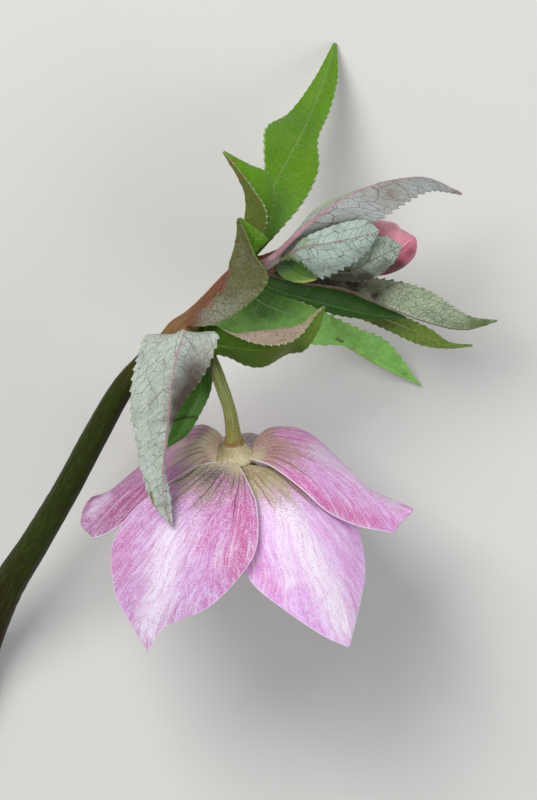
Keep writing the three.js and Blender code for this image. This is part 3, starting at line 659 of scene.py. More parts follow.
for leaf_name, growth in GROWTH.items():
    growth["lines"] = grown_from(LEAF_LINES[leaf_name], growth["root"], growth.get("spread", 0.5))
print("leaves drawn:", len(GROWTH))

# %% [markdown]
# ## Veins
# In a hellebore leaf side veins leave the midrib, arch towards the tip and meet the next one
# near the edge. If every point of the leaf knows how far its own arch has come along the
# midrib, then points with the same number lie on one side vein, and whole numbers can be
# the veins themselves. The finer net is drawn later, by the finish, over the same arches.

# %% Side veins
SIDE_VEIN_PITCH = 4.0
VEIN_SLANT = 0.55
STAGGER = 0.41  # of a pitch, between the veins of the two halves


def side_veins(along, across, half, seed):
    """Arch in mm: along - slant off - off^2 / 2 half. The number is the arch over the pitch."""
    off = np.abs(across)
    arch = along - VEIN_SLANT * off - 0.5 * off**2 / half
    arch = arch + 0.3 * ripple(along, across, seed + 1, spread=0.8)
    number = arch / SIDE_VEIN_PITCH + 0.14 * ripple(along * 0.6, across * 0.1, seed + 2)
    return arch, number + STAGGER * (across > 0)


# %% [markdown]
# ## Teeth
# The saw teeth point to the tip: each rises slowly and drops at once. They are made on the
# grid itself, by pushing the outer columns out at the points and in between them, so the
# outline is real. Narrow leaves get lower teeth.

# %% Teeth
DROP = 0.86  # where in a tooth its rise ends
FULL_WIDTH = 5  # a leaf this wide or wider has its full teeth


def saw(way, pitch, seed):
    """Tooth height from 0 to 1 along an edge: slow rise, quick drop, uneven pitch."""
    phase = way / pitch + 0.3 * ripple(way / pitch, way * 0, seed, spread=1.3)
    part = phase - np.floor(phase)
    return np.where(part < DROP, (part / DROP) ** 1.6, (1 - part) / 0.14)


def cut_teeth(grid, side, depths, pitch, seed):
    """Moves the outer columns half a tooth in or out and forward; gives the teeth's height."""
    height = np.zeros(grid.shape[:2])
    taper = smoothstep(np.linspace(0, 1, len(grid)), 0.06, 0.16)
    taper = taper * smoothstep(np.linspace(1, 0, len(grid)), 0.0, 0.05)
    slim = np.minimum(1, np.linalg.norm(grid[:, -1] - grid[:, 0], axis=1) / FULL_WIDTH)
    for column, inner, reach, number in ((0, 1, -1, 0), (-1, -2, 1, 1)):
        edge = grid[:, column]
        out = unit(edge - grid[:, inner])
        tooth = saw(lengths(edge), pitch, seed + number) * taper
        weight = smoothstep(side * reach, 0.82, 1.0)
        height = height + tooth[:, None] * weight
        depth = depths[number] * slim
        push = (out + 0.5 * heading(edge)) * ((tooth - 0.5 * taper) * depth)[:, None]
        grid = grid + push[:, None] * (weight**2)[..., None]
    return grid, height


# %% [markdown]
# ## Spots and paths
# A leaf doesn't take its tints by chance, nor its painted shade and light, so the places of
# both are marked on the sheet of squares, as round spots or as short paths, and each fades
# outward like a bell.

# %% Spots and paths
def glow(place, paths):
    """Largest of amount times exp(-(distance to path / radius)^2), seen from above."""
    seen = np.zeros(place.shape[:-1])
    spot = place[..., :2]
    for radius, amount, *path in paths:
        points = squares(path)
        for start, end in zip(points[:-1], points[1:]):
            way = end - start
            s = np.clip(((spot - start) @ way) / (way @ way), 0, 1)
            gap = np.linalg.norm(spot - start - s[..., None] * way, axis=-1)
            seen = np.maximum(seen, amount * np.exp(-(gap / (radius * SQUARE)) ** 2))
    return seen


def spots_near(place, spots):
    """Soft spots [across, down, radius, amount] in squares: the sum of their bell curves."""
    seen = np.zeros(place.shape[:-1])
    for across, down, radius, amount in spots:
        centre = squares([across, down])
        gap = np.linalg.norm(place[..., :2] - centre, axis=-1) / (radius * SQUARE)
        seen = seen + amount * np.exp(-gap**2)
    return np.clip(seen, -1, 1)


# %% [markdown]
# ## One leaf
# The rib is a ridge on the underside that thins towards the tip. Side veins stand a tenth of
# a millimetre proud below and are sunk a little above, where the fields between them swell.
# The leaf carries its numbers along: how far each point is from a vein, which side it is on,
# how much tooth it has and how much of each further tint it takes.

# %% Build a leaf
LEAF_SPACING = 0.214
LEAF_THIN = 0.15
LEAF_MIDDLE = 0.21
RIB_HEIGHT = 0.36
RIB_WIDTH = 0.36
VEIN_WIDTH = 0.4375
VEIN_PROUD = 0.11
VEIN_SUNK = 0.08
LEAF_WAVE = 0.12
NET_SHIFT = 7.3  # for each seed, so that no two leaves have the same net
LEAF_SEED = 100
SEED_STEP = 10


def leaf_fields(grid, drawing):
    """Way along the rib, signed way off the rib, and the place across from -1 to 1."""
    rows, columns = grid.shape[:2]
    rib = drawing.get("rib", 1) / (len(drawing["lines"]) - 1) * (columns - 1)
    nearest = int(round(rib))
    along = np.repeat(lengths(grid[:, nearest])[:, None], columns, 1)
    width = lengths(grid.swapaxes(0, 1)).swapaxes(0, 1)
    across = width - width[:, nearest][:, None]
    off = np.arange(columns) - rib
    side = np.where(off <= 0, off / max(rib, 1), off / max(columns - 1 - rib, 1))
    return along, across, np.repeat(side[None], rows, 0)


def build_leaf(name, drawing, finish, seed):
    """Toothed sheet; each side is half the thickness out, plus or less bells at the veins."""
    grid = sheet_grid(drawing, LEAF_SPACING)
    along, across, side = leaf_fields(grid, drawing)
    half = max(np.abs(across).max(), 1.5)
    depths = drawing["tooth"] * np.array(drawing.get("edges", (1, 1)))
    grid, tooth = cut_teeth(grid, side, depths, drawing.get("pitch", 1.6), seed)
    arch, number = side_veins(along, across, half, seed)
    rib_size = (1 - along / along.max()) ** 0.7 + 0.12
    ridge = np.exp(-(across / (RIB_WIDTH * (0.35 + 0.65 * rib_size))) ** 2) * rib_size
    vein = np.abs(number - np.round(number)) * SIDE_VEIN_PITCH
    quilt = np.exp(-(vein / VEIN_WIDTH) ** 2) * (1 - 0.7 * np.abs(side))
    wave = LEAF_WAVE * ripple(along * 0.35, across * 0.5, seed + 7)
    normal = normals(grid)
    grid = grid + normal * wave[..., None]
    thick = LEAF_THIN + (LEAF_MIDDLE - LEAF_THIN) * (1 - np.abs(side) ** 3)
    below = thick + VEIN_PROUD * quilt + RIB_HEIGHT * ridge
    above = thick - VEIN_SUNK * quilt - 0.1 * ridge
    front, back = (below, above) if drawing.get("under") else (above, below)
    points, faces = two_sided(grid + normal * front[..., None], grid - normal * back[..., None])
    first = float(drawing.get("under", False))
    fields = {key: on_both(values) for key, values in {
        "sheet": np.stack([arch, across + NET_SHIFT * seed, along], -1),
        "number": number,
        "rib": across / (RIB_WIDTH * (0.3 + 0.7 * rib_size)),
        "tooth": tooth,
        "edge": np.abs(side),
        # where each leaf's further tints go; some of them are painted shade and painted light
        "tone_and_shade": spots_near(grid, drawing.get("spots", ())),
        "blush_and_light": spots_near(grid, drawing.get("blush_and_light", ())),
        "patch_and_light": glow(grid, drawing.get("patch_and_light", ())),
    }.items()}
    fields["underside"] = np.repeat([first, 1 - first], side.size)
    piece = new_piece(name + "_blade", points, faces, fields, finish)
    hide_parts(name)


# %% [markdown]
# ## Leaf finish
# One tree serves all leaves, with the colours of each as its values. The upper side is green
# with paler veins. The underside is pale with purple-brown veins and a pink rib. Both have a
# second tint that comes in where the leaf's spots say so: on some bracts it is their own brown
# and purple patches, on others painted shade, where a leaf turns from the light or lies under
# another. The fine net is a Voronoi diagram: every field is the land nearest to its own seed,
# and the veins are the borders.

# %% Vein lines
def net_lines(tree, place, size, half):
    """1 on the borders of fields about size wide and half wide lines, 0 inside the fields."""
    warp = add(tree, "ShaderNodeTexNoise", {"Vector": place, "Scale": 0.9 / size, "Detail": 1.0})
    shift = add(tree, "ShaderNodeVectorMath", {
        0: warp.outputs["Color"], 1: (0.4 * size, 0.4 * size, 0), 2: place,
    }, operation="MULTIPLY_ADD")
    cells = add(tree, "ShaderNodeTexVoronoi", {
        "Vector": shift.outputs[0], "Scale": 1 / size, "Randomness": 0.95,
    }, feature="DISTANCE_TO_EDGE", voronoi_dimensions="2D")
    return step(tree, cells.outputs["Distance"], half / size, 0.25 * half / size)


def side_lines(tree):
    """1 where the side veins' number is whole, in lines that thin towards the edge."""
    off = off_middle(tree, plus(tree, carried(tree, "number"), 0.5))
    wide = step(tree, carried(tree, "edge"), 0.0, 0.9, 0.032, 0.012)
    return step(tree, maths(tree, "DIVIDE", off, wide), 1.0, 0.35)


# %% Leaf finish
LEAF_SHADE = "20240f"


def leaf_finish(name, upper, upper_tint_and_shade, under, under_tint_and_shade, rib, vein="6c7a4a",
                upper_vein="94a86a", tooth="c9d0a4", blush_and_light="7f4f42", patch_and_light="4f7a1e",
                net=0.75, upper_net=0.15, size=1.2, mottle=0.42):
    """Both sides with veins and second tint, then blush, patch, dark specks, teeth, pale rim; some
    are painted shade and light.
    """
    material, tree = new_finish(name)
    sheet = carried_place(tree, "sheet")
    cloud, speck = specks(tree, 420.0, 4.0), specks(tree, 2400.0)
    fine = net_lines(tree, sheet, 0.42 * size, 0.045)
    coarse = largest(tree, net_lines(tree, sheet, size, 0.09), times(tree, fine, 0.3))
    side = side_lines(tree)
    middle = step(tree, maths(tree, "ABSOLUTE", carried(tree, "rib")), 0.7, 0.2)
    fade = step(tree, specks(tree, 260.0, 2.0), 0.3, 0.65, 0.7, 1.0)
    # second tint: the leaf's own patches, and painted shade on some leaves
    tone_and_shade = plus(tree, carried(tree, "tone_and_shade"), step(tree, cloud, 0.4, 0.75, 0.0, 0.35))
    above = largest(tree, times(tree, side, 0.4), times(tree, coarse, upper_net),
                    times(tree, middle, 0.55))
    below = largest(tree, times(tree, side, 0.8), times(tree, coarse, net))
    green = coated(tree, rgb(upper), [
        (tone_and_shade, upper_tint_and_shade), (times(tree, above, fade), upper_vein)])
    grey = coated(tree, rgb(under), [
        (tone_and_shade, under_tint_and_shade), (times(tree, below, fade), vein), (times(tree, middle, 0.85), rib)])
    # blush and patch: mostly the leaf's own colours, on some leaves painted light and painted shade
    blush_and_light_amount = times(tree, carried(tree, "blush_and_light"), step(tree, cloud, 0.2, 0.6, 0.6, 0.9))
    colour = coated(tree, mixed(tree, carried(tree, "underside"), green, grey), [
        (blush_and_light_amount, blush_and_light), (carried(tree, "patch_and_light"), patch_and_light)])
    dark = mixed(tree, 0.5, colour, rgb(LEAF_SHADE))
    colour = mixed(tree, step(tree, speck, 0.42, 0.68, 0.0, mottle), colour, dark)
    tip = step(tree, carried(tree, "tooth"), 0.5, 0.95, 0.0, 0.7)
    rim = step(tree, carried(tree, "edge"), 0.97, 1.0, 0.0, 0.15)
    colour = mixed(tree, largest(tree, tip, rim), colour, rgb(tooth))
    roughness = step(tree, carried(tree, "underside"), 0.0, 1.0, 0.4, 0.66)
    relief = plus(tree, times(tree, below, 0.7), speck)
    painted(tree, colour, roughness, 0.2, (relief, 0.35, 0.0002))
    return material


LEAF_TINTS = {
    "bract_hanging": dict(
        # under tint: dark brown-grey, the painted shade of the right half
        upper="5c7a2c", upper_tint_and_shade="6d6b35", under="bac7bc", under_tint_and_shade="5e5448",
        vein="705658", rib="ab8c90", blush_and_light="b49c8c", patch_and_light="6b7038",
        size=1.8, net=0.72),
    "bract_hanging_inner": dict(
        upper="568634", upper_tint_and_shade="46702c", under="8fae74", under_tint_and_shade="6f8f58",
        vein="5d6b3c", rib="9db070", upper_vein="7c9c58", patch_and_light="2a3016"),
    "bract_folded": dict(
        upper="4a7514", upper_tint_and_shade="56681c", under="b8a698", under_tint_and_shade="96826f",
        vein="7a4f4a", rib="a9b24e", upper_vein="93a452", blush_and_light="6c6a2c", patch_and_light="76902a",
        size=0.95),
    "bract_sheath": dict(
        upper="5a8a1c", upper_tint_and_shade="6c8a30", under="61653a", under_tint_and_shade="8b8f7c",
        vein="5a4638", rib="93504a", upper_vein="8cae50", tooth="88904e", patch_and_light="4f7a1e",
        mottle=0.8, size=0.9),
    "bract_lower_right": dict(
        upper="96d268", upper_tint_and_shade="44701f", under="9fb184", under_tint_and_shade="8ba06c",
        rib="8fc070", upper_vein="90c080", blush_and_light="8c8a4c", patch_and_light="4c4036"),
    "bract_inner_right": dict(
        upper="2b550a", upper_tint_and_shade="44692a", under="93a877", under_tint_and_shade="7f9460",
        rib="8aa85a", upper_vein="5c8640"),
    "bract_under_right": dict(
        upper="5c8030", upper_tint_and_shade="4c6c26", under="84a444", under_tint_and_shade="4c6026",
        vein="5a5a34", rib="8f9f58"),
    "bract_long_right": dict(
        # under tint: near black, the painted shadow on the base
        upper="5c8038", upper_tint_and_shade="4c6c2c", under="aec0a0", under_tint_and_shade="282e1b",
        vein="66504c", rib="7f6a5c", blush_and_light="66783a"),
    "bract_top": dict(
        upper="61941a", upper_tint_and_shade="4f8208", under="9fb870", under_tint_and_shade="8aa358",
        # blush: light green, painted light where the folded bract shades the base
        blush_and_light="84bc58", vein="7c8a4a", rib="a9bd6e", upper_vein="949c72", tooth="e0e6c4",
        upper_net=0.16),
    "bract_top_folded": dict(
        upper="5d940b", upper_tint_and_shade="658e13", under="667630", under_tint_and_shade="5c6a28",
        vein="5c5228", rib="8c584c", upper_vein="9fb860", blush_and_light="7c5c34", tooth="dfe0c0", net=0.4),
    "bud_bract_upper": dict(
        upper="7f9c5c", upper_tint_and_shade="6d8c4c", under="abb2b1", under_tint_and_shade="867d6e",
        vein="74595e", rib="b38894", upper_vein="a2b680", blush_and_light="96706c", patch_and_light="a3b08a",
        size=2.2, net=0.9),
    "bud_bract_near": dict(
        # under tint: grey-olive; at the fold it is painted shade
        upper="66903c", upper_tint_and_shade="587d34", under="afc3b8", under_tint_and_shade="6b735a",
        vein="6c5357", rib="a07c7a", upper_vein="94b070", blush_and_light="96706c", patch_and_light="5d7d38",
        size=2.0, net=0.9),
    "bud_bract_scoop": dict(
        # upper tint: dark green, painted shade in the hollow
        upper="698d42", upper_tint_and_shade="395734", under="8fae5c", under_tint_and_shade="6f8f48",
        # patch colour: pale yellow-green, the painted highlight on the lower edge
        rib="5f8540", upper_vein="5f8236", blush_and_light="63473c", patch_and_light="c3cc62", net=0.1,
        upper_net=0.0),
    "bud_bract_far": dict(
        # under tint: dark olive, painted shade under the near bud bract
        upper="5c8038", upper_tint_and_shade="4c6c2c", under="b4c6b4", under_tint_and_shade="424a34",
        vein="54403c", rib="7d7060"),
}
for number, leaf_name in enumerate(LEAF_LINES):
    finish = leaf_finish(leaf_name, **LEAF_TINTS[leaf_name])
    build_leaf(leaf_name, GROWTH[leaf_name], finish, LEAF_SEED + SEED_STEP * number)

# %% [markdown]
# ## The open flower
# What looks like petals on a hellebore are five sepals, round a ring of small tubular
# nectaries, many stamens and a few carpels. The flower nods, so the camera sees the backs of
# the sepals. Each is drawn by five lines. They reach into the receptacle, where the flower
# stalk ends: `CENTRE` is its middle, and the axis tips down from there.

# %% Sepal lines
SEPAL_LINES = {
    "sepal_front_left": [
        [[226, 461, 36.7], [196, 466.5, 35.2], [163, 487, 35.2], [131, 514, 34], [113, 545, 33.6],
         [114.5, 588, 37.3], [124.5, 612, 40.2], [148, 650, 42.9]],
        [[229, 463, 36.9], [210, 475, 38.4], [184, 501, 41], [160, 532, 42.2], [143, 565, 42.2],
         [138, 598, 42.2], [140, 622, 42.3], [148.2, 650, 42.9]],
        [[232, 464, 37], [224, 482, 40.3], [207, 512, 44], [188, 545, 46], [174, 578, 46.2],
         [160, 605, 45.2], [151, 628, 43.8], [148.4, 650, 42.9]],
        [[235, 464, 37.1], [237, 484, 40.7], [232, 515, 44.8], [221, 550, 47.3], [206, 582, 47.9],
         [183, 605, 46.8], [159, 627, 44.5], [148.8, 650, 43]],
        [[238, 463, 37.1], [247, 480, 40.1], [257, 505, 43.4], [257, 545, 46.6], [242, 573, 47.8],
         [209, 606, 47.6], [166, 626, 45], [149.2, 650, 43]],
    ],
    "sepal_front_right": [
        [[237, 468, 35.9], [238, 485, 39.2], [238, 515, 42.8], [238, 548, 45], [252, 582, 46],
         [285, 609, 46], [323, 635, 43.8], [347, 646, 41.2]],
        [[239, 467, 36], [250, 482, 38.9], [262, 512, 42.3], [272, 545, 44.6], [287, 578, 45.4],
         [310, 606, 44.6], [334, 630, 42.7], [347.3, 646, 41.2]],
        [[241, 465, 36], [262, 478, 38.2], [288, 506, 41.2], [306, 540, 43.2], [322, 573, 43.5],
         [335, 602, 42.6], [343, 625, 41.7], [347.6, 646, 41.1]],
        [[243, 464, 35.8], [274, 474, 36.9], [310, 502, 38.5], [332, 535, 39.8], [345, 568, 40.1],
         [350, 600, 40.5], [351, 624, 40.6], [348, 646, 41.1]],
        [[247, 465, 35.4], [285, 470, 35], [330, 497, 34.2], [356, 527, 33.3], [364.5, 562, 35.2],
         [361, 596, 37.9], [355.5, 622, 39.6], [348.3, 646, 41.1]],
    ],
    "sepal_side_right": [
        [[250, 459.5, 36.2], [258, 461.5, 37.1], [270, 466, 37.9], [300, 487.5, 39.5],
         [326, 510.5, 39.4], [358, 525.5, 36.8], [392.5, 533.5, 33.2]],
        [[251.5, 457.5, 35.8], [262, 457.5, 36.3], [278, 459, 36.2], [310, 473, 37],
         [338, 492, 36.2], [366, 507, 34], [400, 524, 31.8]],
        [[252, 455.5, 35], [263, 449, 34.2], [282, 446, 32.2], [316, 455, 31.4], [348, 473, 30.6],
         [371, 493, 30.2], [407, 516.5, 30.4]],
        [[252, 453, 34], [257.5, 440.5, 31.2], [274, 428.5, 26.5], [306, 433.5, 22.5],
         [340, 460, 23.5], [364, 487, 26], [412.5, 511.5, 29.4]],
        [[250.5, 449.5, 32.4], [254.5, 440, 28.8], [270, 431.5, 22.8], [303, 435.5, 16.9],
         [338, 459.5, 17.5], [362, 486, 22], [412, 508.5, 28.6]],
    ],
    "sepal_side_left": [
        [[224, 464.5, 35.4], [216, 470, 35.5], [207, 477, 35.4], [180, 496, 35.2],
         [141, 511, 32.6], [112, 530.6, 31.8], [94, 538.3, 31.4]],
        [[220.5, 461, 35], [212, 462, 34.4], [202, 463, 33.4], [166, 481, 32.6], [134, 501, 30.8],
         [107, 520, 30.2], [88, 532.5, 30.4]],
        [[218.5, 457, 34.3], [208, 449, 32.8], [196, 447, 30.6], [160, 464, 28.8],
         [129, 487.5, 27.8], [103.5, 505.5, 28.4], [80.8, 524.5, 29.4]],
        [[218.5, 453.5, 33.4], [216, 438.5, 30.8], [198, 427, 26.4], [163, 449, 22.6],
         [132.5, 473.3, 22.6], [107.5, 493.7, 25.4], [83.7, 508.2, 28.4]],
        [[220.5, 449.5, 32], [223, 438, 29], [205, 428, 22.5], [165, 448, 17], [135.5, 471, 17.5],
         [112.5, 490.6, 22], [91, 496, 27]],
    ],
    "sepal_back": [
        [[230, 448.5, 31.2], [222, 445, 27.4], [201, 447.5, 24.8], [175, 462, 21.8],
         [171, 488, 16], [187, 513, 9], [237.5, 532, 0.6]],
        [[232, 447.5, 30.9], [228, 439, 26.4], [214, 439.5, 23.2], [200, 449, 18],
         [201, 473, 11.6], [211, 500, 6], [238.2, 532, 0.45]],
        [[235, 447, 30.6], [235, 439, 26.6], [236, 436, 22.2], [236, 443, 15.8], [237, 466, 9.6],
         [238, 496, 4.2], [239, 532, 0.35]],
        [[238, 447.5, 30.9], [244, 436.6, 26.7], [256, 435, 22.9], [272, 448, 18],
         [272, 472, 11.6], [264, 500, 6], [239.8, 532, 0.45]],
        [[240.5, 448.5, 31.4], [251, 444, 28.2], [272, 446, 25.6], [296, 461, 21.8],
         [300, 486, 16], [288, 513, 9], [240.5, 532, 0.6]],
    ],
}
CENTRE = [235, 455, 34]
SEPAL_ROOT = 0.35


def root_of_sepal(lines):
    """Adds a first station to each line: a third of the way from the centre to its base."""
    centre = np.array(CENTRE, float)
    return [[(centre + (np.array(line[0]) - centre) * SEPAL_ROOT).tolist(), *line]
            for line in lines]


SEPALS = {name: {"lines": root_of_sepal(lines), "rib": 2} for name, lines in SEPAL_LINES.items()}
print("sepals drawn:", len(SEPALS))

# %% [markdown]
# ## Where a sepal is pale and where it is deep pink
# The tint isn't even: pale bands run down the middle, magenta lies where sepals overlap, and
# the foot is cream-green with dark veins that fan out. The bands are glows round short paths
# over the sheet of squares, so they are drawn like everything else here.

# %% Pale and deep paths
PALE = {
    "sepal_front_left": [(17, 1.0, [172, 536], [162, 590], [150, 628]),
                         (10, 0.35, [196, 520], [186, 560])],
    "sepal_front_right": [(16, 1.0, [285, 512], [306, 548], [328, 590], [343, 625]),
                          (10, 0.6, [268, 505], [282, 540], [290, 580])],
    "sepal_side_right": [(9, 0.85, [314, 450], [340, 464], [366, 482], [395, 503])],
    "sepal_side_left": [(6, 0.9, [107, 498], [97, 506], [92, 514])],
    "sepal_back": [(14, 0.8, [235, 455], [238, 520])],
}
DEEP = {
    "sepal_front_left": [(22, 1.0, [236, 486], [244, 522], [236, 566]),
                         (14, 0.6, [216, 512], [208, 545]),
                         (12, 0.5, [125, 530], [122, 570])],
    "sepal_front_right": [(10, 0.8, [246, 510], [252, 560], [275, 590]),
                          (10, 0.5, [325, 530], [350, 560], [352, 600])],
    "sepal_side_right": [(8, 1.0, [284, 474], [304, 488], [330, 507], [372, 522]),
                         (8, 0.7, [280, 434], [310, 440])],
    "sepal_side_left": [(15, 1.0, [158, 482], [135, 498], [112, 514]),
                        (8, 0.7, [205, 428], [190, 436])],
    "sepal_back": [(14, 0.7, [185, 460], [185, 500]), (14, 0.7, [285, 460], [285, 500])],
}
DUSK = {
    "sepal_front_left": [(220, 477, 13, 0.8), (205, 478, 9, 0.5)],
    "sepal_front_right": [(247, 473, 9, 0.8), (262, 476, 6, 0.4)],
    "sepal_side_right": [(256, 444, 9, 0.9), (270, 452, 10, 0.4)],
    "sepal_side_left": [(216, 444, 9, 0.6), (207, 460, 8, 0.6)],
}
OUTSIDE_IN_FRONT = ("sepal_side_left", "sepal_back")

# %% [markdown]
# ## One sepal
# A sepal is a thin sheet again, but smooth-edged. Its veins fan out as straight lines from
# just behind the foot, so the angle round that point numbers them: the finish draws streaks
# and dark veins along it, and the mesh has them as low ridges.

# %% Build a sepal
SEPAL_SPACING = 0.236
SEPAL_THIN = 0.13
SEPAL_MIDDLE = 0.2
SEPAL_RIDGE = 0.02
BUCKLE = 0.22
FRILL = 0.3
FAN_ORIGIN = 2.5
FAN_STEP = np.radians(6.5)
SEPAL_SEED = 400


def build_sepal(name, drawing, finish, seed):
    """Sheet moved out by buckles and a frill at its edges, with ridges cos(2 pi fan)."""
    grid = sheet_grid(drawing, SEPAL_SPACING)
    along, across, side = leaf_fields(grid, drawing)
    fan = np.arctan2(across, along + FAN_ORIGIN) / FAN_STEP
    fan = fan + 0.25 * ripple(along * 0.4, across * 0.6, seed)
    normal = normals(grid)
    buckle = BUCKLE * ripple(fan * 1.1, along * 0.22, seed + 1) * smoothstep(along, 5, 12)
    frill = FRILL * ripple(along * 0.5, side * 2, seed + 2) * np.abs(side) ** 3
    grid = grid + normal * ((buckle + frill) * smoothstep(along, 4, 10))[..., None]
    thick = SEPAL_THIN + (SEPAL_MIDDLE - SEPAL_THIN) * (1 - np.abs(side) ** 4)
    relief = SEPAL_RIDGE * np.cos(2 * np.pi * fan) * (1 - side**2) * smoothstep(along, 5, 11)
    points, faces = two_sided(grid + normal * (thick + relief)[..., None],
                              grid - normal * (thick - relief)[..., None])
    half = np.abs(across[:, [0, -1]])
    fields = {key: on_both(values) for key, values in {
        "fan": np.stack([fan, along, side], -1),
        "along": along,
        "rim": np.where(side < 0, half[:, :1], half[:, 1:]) * (1 - np.abs(side)),
        "pale": glow(grid, PALE[name]),
        "deep": glow(grid, DEEP[name]),
        "dusk": spots_near(grid, DUSK.get(name, ())),
    }.items()}
    inside = float(name not in OUTSIDE_IN_FRONT)
    fields["inside"] = np.repeat([inside, 1 - inside], side.size)
    piece = new_piece(name + "_blade", points, faces, fields, finish)
    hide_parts(name)


# %% [markdown]
# ## Sepal finish
# The colour is laid on like paint in water: lilac-pink ground, white-lilac bands, magenta
# glows and streaks that fork half way out. The foot is dusky with dark purple veins, the rim
# thin and white, and the inside paler and greener. Each sepal has its own tints; the left side
# sepal's are darker all through, painted shade for a sepal that turns from the light.

# %% Sepal finish
FOOT_CREAM = "c2b794"
RIM_WHITE = "ece0f4"
INSIDE_CREAM = "e6d9c8"
FORK = (20.0, 13.0)  # way out in mm between which the streaks double
ONE_TURN = 6.2832


def sepal_body(tree, fan, tints):
    """Lilac-pink with magenta glows and white-lilac bands, streaked along the fan."""
    broad = grain(tree, fan, 1.0, 3.0, (1.3, 0.07, 0))
    narrow = grain(tree, fan, 1.0, 4.0, (4.2, 0.07, 0))
    fine = grain(tree, fan, 1.0, 3.0, (10, 0.4, 0))
    deep = times(tree, carried(tree, "deep"), step(tree, broad, 0.25, 0.7, 1.0, 0.7))
    pale = times(tree, carried(tree, "pale"), step(tree, broad, 0.25, 0.6, 0.65, 1.0))
    coats = [(step(tree, specks(tree, 420.0), 0.3, 0.7), tints["light"]),
             (deep, tints["deep"]), (pale, tints["pale"]), (streaks(tree, fan), tints["streak"])]
    for noise, amount in ((narrow, 0.45), (fine, 0.4), (specks(tree, 3600.0), 0.45)):
        coats += [(step(tree, noise, 0.5, 0.68, 0.0, amount), tints["pale"]),
                  (step(tree, noise, 0.48, 0.32, 0.0, amount), tints["streak"])]
    return coated(tree, rgb(tints["dark"]), coats), narrow


def streaks(tree, fan):
    """cos(2 pi k fan) shifted by noise, where k doubles half way out, as the veins fork."""
    number = add(tree, "ShaderNodeSeparateXYZ", {0: fan}).outputs[0]
    shift = step(tree, grain(tree, fan, 1.0, 2.0, (0.9, 0.2, 0)), 0.2, 0.8, -2.2, 2.2)
    single, double = (
        maths(tree, "COSINE", plus(tree, times(tree, number, ONE_TURN * k), shift)) for k in (1, 2))
    near = step(tree, carried(tree, "along"), *FORK)
    wave = plus(tree, times(tree, single, near),
                times(tree, double, maths(tree, "SUBTRACT", 1.0, near)))
    outer = step(tree, carried(tree, "rim"), 7.0, 1.0, 0.1, 0.42)
    return times(tree, step(tree, wave, -0.2, 0.9), outer)


def foot_veins(tree, fan):
    """1 on a fan of dark lines, one to each whole step, that starts and stops unevenly."""
    along = carried(tree, "along")
    number = add(tree, "ShaderNodeSeparateXYZ", {0: fan}).outputs[0]
    wobble = step(tree, grain(tree, fan, 1.0, 2.0, (0.8, 0.15, 0)), 0.2, 0.8, -0.22, 0.22)
    off = times(tree, off_middle(tree, plus(tree, number, wobble)),
                plus(tree, along, FAN_ORIGIN))
    reach = plus(tree, along, step(tree, grain(tree, fan, 1.0, 1.0, (1.0, 0.02, 0)),
                                   0.3, 0.7, -4.5, 4.5))
    some = step(tree, grain(tree, fan, 1.0, 1.0, (0.55, 0.02, 0)), 0.35, 0.6, 0.25, 0.85)
    return times(tree, step(tree, reach, 18.0, 10.0), step(tree, along, 3.5, 7.5),
                 step(tree, off, 2.0, 0.15), some)


def sepal_foot(tree, fan, colour, tints):
    """Dusky, freckled foot that turns rosy outward, with dark veins that fan out from it."""
    along = carried(tree, "along")
    speck = specks(tree, 3600.0)
    foot = plus(tree, along,
                step(tree, grain(tree, fan, 1.0, 3.0, (1.1, 0.12, 0)), 0.25, 0.75, -2.4, 2.4),
                step(tree, speck, 0.3, 0.7, -3.0, 3.0), -tints["reach"],
                step(tree, carried(tree, "deep"), 0.0, 0.8, 0.0, 5.0))
    ground = coated(tree, rgb(FOOT_CREAM), [
        (step(tree, along, 4.0, 6.6), tints["foot"]),
        (carried(tree, "dusk"), tints["dusk"]),
        (step(tree, speck, 0.47, 0.33, 0.0, 0.4), tints["vein"]),
        (step(tree, speck, 0.53, 0.67, 0.0, 0.45), tints["pale"])])
    colour = coated(tree, colour, [(step(tree, foot, 15.0, 8.0, 0.0, 0.8), tints["rosy"])])
    colour = mixed(tree, step(tree, foot, 13.5, 4.5), colour, ground)
    return coated(tree, colour, [(foot_veins(tree, fan), tints["vein"])])


def sepal_finish(name, tints):
    """Body and foot, a thin white rim beyond the foot, and a creamier inside."""
    material, tree = new_finish(name)
    fan = carried_place(tree, "fan")
    colour, narrow = sepal_body(tree, fan, tints)
    colour = sepal_foot(tree, fan, colour, tints)
    rim = times(tree, step(tree, carried(tree, "rim"), 0.3, 0.08, 0.0, 0.85),
                step(tree, carried(tree, "along"), 3.0, 4.5))
    colour = coated(tree, colour, [(rim, RIM_WHITE)])
    inner = mixed(tree, 0.4, colour, rgb(INSIDE_CREAM))
    colour = mixed(tree, carried(tree, "inside"), colour, inner)
    painted(tree, colour, 0.6, 0.25, (narrow, 0.35, 0.0002))
    return material


